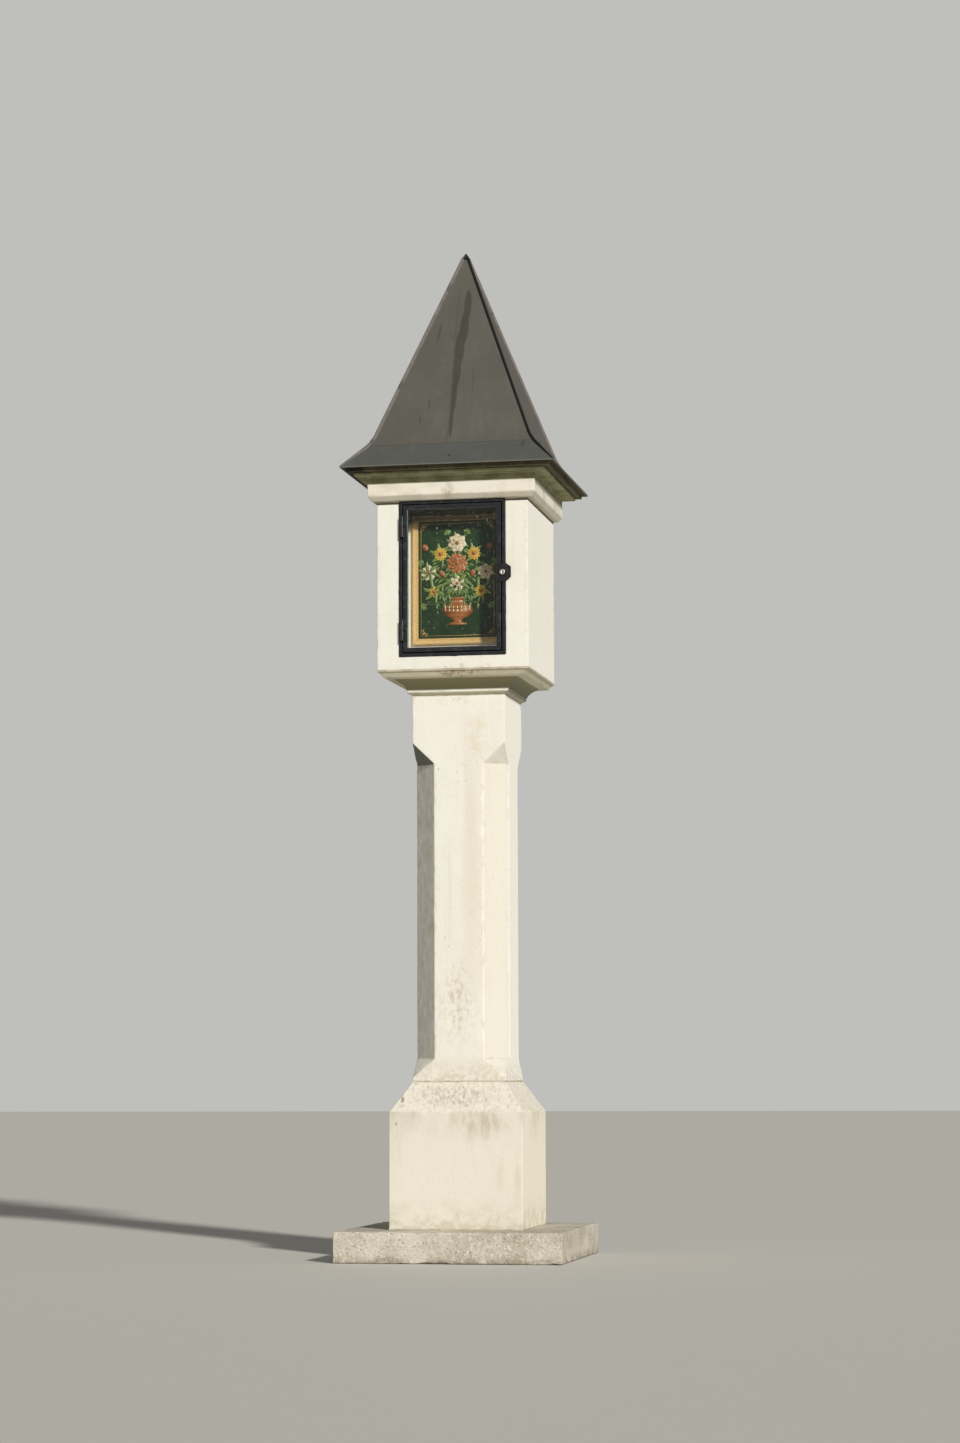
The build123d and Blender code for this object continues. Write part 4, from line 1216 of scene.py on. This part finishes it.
class SHRINE_OT_painted_panel(ShrineOperator, bpy.types.Operator):
    """Paints the panel with a vase of garden flowers inside a thin gold line"""

    bl_idname = "shrine.painted_panel"
    bl_label = "Paint the picture"

    mouth = (0.0, -0.1)
    cream = ((0.0, 0.188, 0.05), (0.0, -0.022, 0.042), (0.148, 0.036, 0.042))
    gold = ((0.088, 0.132, 0.037), (0.122, -0.062, 0.032))
    russet = ((0.0, 0.082, 0.056),)
    tulips = ((0.072, 0.012, 0.42), (0.158, 0.15, 0.5))
    sprays = ((0.165, -0.13, 1.9), (0.178, 0.085, 1.1), (0.045, 0.232, 0.25))
    profile = (
        (-0.236, 0.05), (-0.229, 0.05), (-0.221, 0.024), (-0.211, 0.022), (-0.195, 0.058), (-0.174, 0.08),
        (-0.152, 0.081), (-0.132, 0.062), (-0.118, 0.037), (-0.108, 0.034), (-0.1, 0.046), (-0.094, 0.053),
    )

    def execute(self, context):
        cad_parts["picture_panel"].data.materials[0] = panel_ground()
        self.border()
        self.foliage()
        self.vase()
        self.blossoms()
        return {"FINISHED"}

    def border(self):
        """A gold line round the painting, with a scroll in each corner."""
        gold = Strokes(0.3 * MM)
        across = DESIGN_WIDTH / 2 - MARGIN
        tall = (PANEL_HIGH.z - PANEL_LOW.z) / 2 / gold.scale - MARGIN
        corners = [(across, tall), (-across, tall), (-across, -tall), (across, -tall), (across, tall)]
        for start, end in zip(corners, corners[1:]):
            wide = (0, LINE) if start[0] != end[0] else (LINE, 0)
            gold.band([(start, wide, 0.2), (end, wide, 0.2)])
        for x in (-1, 1):
            for up in (-1, 1):
                level, upright = math.atan2(0, x), math.atan2(up, 0)
                for right, down, heading, hand in ((26, 9, level, x * up), (9, 26, upright, -x * up)):
                    spot = (x * (across - right * MM), up * (tall - down * MM))
                    gold.curl(*spot, heading, radius=9 * MM, width=3 * MM, hand=hand)
                spot = (x * (across - 5 * MM), up * (tall - 5 * MM))
                gold.petal(*spot, math.atan2(-x, -up), length=0.024, width=0.009)
        gold.piece("painted_border", "gold_oil_paint", "#caa049", "#e8cf86", "#8d6420")

    def foliage(self):
        """Stems from the mouth of the vase, with leaves along them and loose sprays between."""
        stems, leaves = Strokes(0.45 * MM), Strokes(0.6 * MM)
        base = self.mouth[1]
        ends = [spot[:2] for spot in self.cream + self.gold + self.russet + self.tulips + self.sprays]
        for x, up, hand in mirrored(ends):
            bow = (0.25 * x, base + 0.75 * (up - base) + 0.05 * abs(x))
            stems.stem(self.mouth, bow, (x, up), width=0.0034)
            for share in (0.35, 0.55, 0.75):
                spot = (x * share ** 1.6, base + (up - base) * share)
                for side in (-1, 1):
                    lean = math.atan2(x, up - base) + side * 0.9
                    size = 0.042 - 0.012 * share
                    leaves.petal(*spot, lean, size, width=0.013, fullness=0.9, bend=side * 0.5)
        for x, up, lean, hand in mirrored(self.sprays):
            for turn in range(-2, 3):
                heading, size = hand * (lean + 0.42 * turn), 0.036 - 0.004 * abs(turn)
                leaves.petal(x, up, heading, size, width=0.011, fullness=0.9, bend=hand * 0.3)
        for x, up, _, hand in mirrored(self.cream + self.gold + self.russet):
            for turn in range(6):
                heading = hand * (0.5 + turn * math.pi / 3)
                leaves.petal(x, up, heading, length=0.062, width=0.018, bend=0.35)
        stems.piece("painted_stems", "olive_oil_paint", "#5d6b2c", "#8c9645", "#2b3514")
        leaves.piece("painted_leaves", "leaf_green_oil_paint", "#3f6a33", "#9db063", "#20391a")

    def vase(self):
        """A brown vase with a foot, a belly, a neck and a lip, and a cream band of dots round its belly."""
        brown = Strokes(0.9 * MM)
        levels, halves = zip(*self.profile)
        steps = 40
        stations = []
        for step in range(steps + 1):
            up = levels[0] + (levels[-1] - levels[0]) * step / steps
            stations.append(((0, up), (float(np.interp(up, levels, halves)), 0), 0.5 + 0.5 * math.sin(step)))
        brown.band(stations)
        brown.piece("painted_vase", "russet_oil_paint", "#9a5a2c", "#b9743c", "#4d2611")
        marks = Strokes(1.1 * MM)
        for at in range(-3, 4):
            marks.disc(at * 0.021, -0.162 + 0.0006 * at * at, 0.0062 - 0.0006 * abs(at))
            marks.petal(at * 0.021, -0.152, turn=0.0, length=0.016, width=0.007)
        for at in range(-2, 3):
            marks.disc(at * 0.012, -0.1135, 0.0028)
        marks.piece("painted_vase_marks", "ivory_oil_paint", "#e3d0a4", "#f3e6c6", "#b08f5a")

    def blossoms(self):
        """Cream roses, gold daisies, one large russet bloom and tulips, all with their middles."""
        cream, gold, russet, middles = (Strokes(lift * MM) for lift in (1.2, 1.4, 1.6, 2.2))
        # Where they are, their paint, the share of the middle, then petals, rows, fullness and start
        for spots, paint, middle, *form in (
            (self.cream, cream, 0.2, 7, 3, 1.25, 0.0),
            (self.gold, gold, 0.28, 12, 2, 1.05, 0.0),
            (self.russet, russet, 0.2, 9, 3, 1.2, 0.2),
        ):
            for x, up, radius in {spot[:3] for spot in mirrored(spots)}:
                paint.rosette(x, up, radius, *form)
                middles.disc(x, up, middle * radius)
        for x, up, lean, hand in mirrored(self.tulips):
            for turn in (-0.5, 0.5, 0.0):
                heading = hand * lean + turn
                russet.petal(x, up, heading, length=0.04, width=0.019, fullness=0.85, bend=-turn * 0.8)
        cream.piece("painted_cream_flowers", "cream_oil_paint", "#d9b98c", "#f6ead2", "#b38a5e")
        gold.piece("painted_gold_flowers", "yellow_oil_paint", "#c9851f", "#f0c95c", "#8a5a17")
        russet.piece("painted_russet_flowers", "sienna_oil_paint", "#7c3a1d", "#d48a55", "#4a1f10")
        middles.piece("painted_flower_middles", "umber_oil_paint", "#6b3b12", "#c98f35", "#3b210c")


def number(name, description, default, **kind):
    """A number that a user may change."""
    return bpy.props.FloatProperty(name=name, description=description, default=default, **kind)


def length(name, description, default):
    """A length that a user may change."""
    return number(name, description, default, unit="LENGTH", precision=4)


def angle(name, description, degrees):
    """An angle that a user may change."""
    return number(name, description, math.radians(degrees), subtype="ANGLE")


def colour(name, description, hex_colour):
    """A colour that a user may change."""
    look = {"subtype": "COLOR", "size": 4, "min": 0, "max": 1, "default": linear(hex_colour)}
    return bpy.props.FloatVectorProperty(name=name, description=description, **look)


class StageSettings(bpy.types.PropertyGroup):
    """Where the camera stands and how the studio is lit"""

    azimuth: angle("Azimuth", "How far the camera stands to the right of the front", 11.1129)
    distance: length("Distance", "From the object's axis to the camera", 15.1529)
    eye_level: length("Eye level", "Height of the camera over the floor", 0.8262)
    lens: number("Lens", "Focal length on a 36 mm sensor, in millimetres", 82.33)
    yaw: angle("Yaw", "Turn of the view to the left", 10.8932)
    pitch: angle("Pitch", "Tilt of the view upwards", 6.1143)
    roll: angle("Roll", "Turn about the line of sight", -0.1833)
    floor_reach: length("Floor reach", "Half the side of the floor", 60.0)
    floor_colour: colour("Floor colour", "Paint of the floor", "#cfcdc7")
    sky_colour: colour("Surround", "Colour of the studio around the floor", "#d9d9d6")
    sky_strength: number("Surround strength", "Light that the surround gives", 0.29)
    backdrop_strength: number("Backdrop strength", "Brightness of the surround as the camera sees it", 0.75)
    key_azimuth: angle("Key azimuth", "Side of the key light", 38.5)
    key_height: angle("Key height", "Height of the key light over the floor", 24.9)
    key_softness: angle("Key softness", "Width of the key light as an angle", 4)
    key_power: number("Key power", "Strength of the key light", 3.6)
    key_colour: colour("Key colour", "Colour of the key light", "#fffcf5")


class StoneSettings(bpy.types.PropertyGroup):
    """How the stones are dressed, pointed and washed"""

    arris: length("Arris", "Width of the rounding along the arrises", 4 * MM)
    cell: length("Cell", "Mesh size of the stone faces", 20 * MM)
    wave: length("Wave", "Depth of the hand-dressed unevenness", 1.4 * MM)
    chip: length("Chip", "Depth of the chips along the arrises", 5 * MM)
    chip_reach: length("Chip reach", "How far chips reach in from an arris", 14 * MM)
    joint: length("Joint", "Height of a mortar joint", 9 * MM)
    joint_bed: length("Joint bed", "Depth of the mortar in a joint", 14 * MM)
    joint_depth: length("Joint depth", "How far the mortar is struck back from the stone faces", 0.4 * MM)
    limewash: colour("Limewash", "Colour of the fresh wash", "#e6e3da")


class RoofSettings(bpy.types.PropertyGroup):
    """How the roof sheets, their seams and the soffit are made"""

    cell: length("Cell", "Mesh size of the sheets", 25 * MM)
    buckle: length("Buckle", "How deep the sheets sink between their seams", 1.2 * MM)
    tip_share: number("Tip share", "Width of the cap's tip against its CAD width", 0.12)
    seam_rounding: length("Seam rounding", "Rounding of the folded hip seams", 2 * MM)
    fold_x: length("Fold place", "How far right of the middle the upright joints are", -14 * MM)
    fold_width: length("Fold width", "Width of the upright flat joints", 10 * MM)
    fold_thickness: length("Fold thickness", "Thickness of the upright flat joints", 2.4 * MM)
    fold_start: length(
        "Fold start", "Where the upright joints start over the lower edge of the sheets", 4 * MM
    )
    fold_rise: length("Fold rise", "How far the upright joints reach up", 780 * MM)
    nail_x: length("Nail place", "How far right of the middle the nails are", 8 * MM)
    nail_level: length("Nail level", "How far over the eave the nails are", 42 * MM)
    nail_radius: length("Nail radius", "Half the width of a nail head", 5 * MM)
    nail_rise: length("Nail rise", "Height of a nail head over the sheet", 2 * MM)
    board_width: length("Board width", "Width of a soffit board, about", 97 * MM)
    board_gap: length("Board gap", "Open joint between soffit boards", 1.5 * MM)
    spire: colour("Spire", "Colour of the steep sheets", "#58564e")
    flare: colour("Flare", "Colour of the flared sheets", "#515350")


class DoorSettings(bpy.types.PropertyGroup):
    """How the steel door, its glass and its lock are finished"""

    rounding: length("Rounding", "Rounding of the steel bars", 1.0 * MM)
    wear: length("Wear", "How far wear reaches in from an edge", 4 * MM)
    face: length("Face", "Width of a bar of the leaf as seen from the front", 19 * MM)
    seal: length("Putty bead", "Thickness of the putty round the glass", 4 * MM)
    keyway_width: length("Keyway width", "Width of the slot in the lock", 2.2 * MM)
    keyway_height: length("Keyway height", "Height of the slot in the lock", 10 * MM)
    keyway_depth: length("Keyway depth", "Depth of the slot in the lock", 4 * MM)
    enamel: colour("Enamel", "Colour of the door", "#1b1d21")
    lock: colour("Lock enamel", "Colour of the lock plate", "#16181b")


class PictureSettings(bpy.types.PropertyGroup):
    """How the picture in the niche is finished"""

    gilt: colour("Gilt", "Colour of the moulding", "#f0c682")
    ground: colour("Ground", "Colour of the panel behind the flowers", "#203a1e")


class SHRINE_PT_finish(bpy.types.Panel):
    """The steps that dress the shrine, in their order, with their settings"""

    bl_idname = "SHRINE_PT_finish"
    bl_label = "Wayside shrine"
    bl_space_type = "VIEW_3D"
    bl_region_type = "UI"
    bl_category = "Shrine"

    def draw(self, context):
        for title, group, kind, steps in SECTIONS:
            box = self.layout.box()
            box.label(text=title)
            for name in kind.__annotations__:
                box.prop(getattr(context.scene, group), name)
            for step in steps:
                box.operator(step.bl_idname)


SECTIONS = (
    ("Stage", "shrine_stage", StageSettings, (SHRINE_OT_stage,)),
    ("Stone", "shrine_stone", StoneSettings, (SHRINE_OT_footing, SHRINE_OT_stones, SHRINE_OT_mortar)),
    (
        "Roof", "shrine_roof", RoofSettings,
        (SHRINE_OT_soffit, SHRINE_OT_roof_sheets, SHRINE_OT_roof_seams, SHRINE_OT_roof_nails),
    ),
    (
        "Door", "shrine_door", DoorSettings,
        (SHRINE_OT_door, SHRINE_OT_hinges, SHRINE_OT_glazing, SHRINE_OT_lock),
    ),
    ("Picture", "shrine_picture", PictureSettings, (SHRINE_OT_picture_frame, SHRINE_OT_painted_panel)),
)


def register():
    for _, group, kind, steps in SECTIONS:
        for part in (kind, *steps):
            bpy.utils.register_class(part)
        setattr(bpy.types.Scene, group, bpy.props.PointerProperty(type=kind))
    bpy.utils.register_class(SHRINE_PT_finish)


def unregister():
    bpy.utils.unregister_class(SHRINE_PT_finish)
    for _, group, kind, steps in SECTIONS:
        delattr(bpy.types.Scene, group)
        for part in (*steps, kind):
            bpy.utils.unregister_class(part)


def main():
    register()
    for *_, steps in SECTIONS:
        for step in steps:
            getattr(bpy.ops.shrine, step.bl_idname.split(".")[1])()


if __name__ == "__main__":
    main()
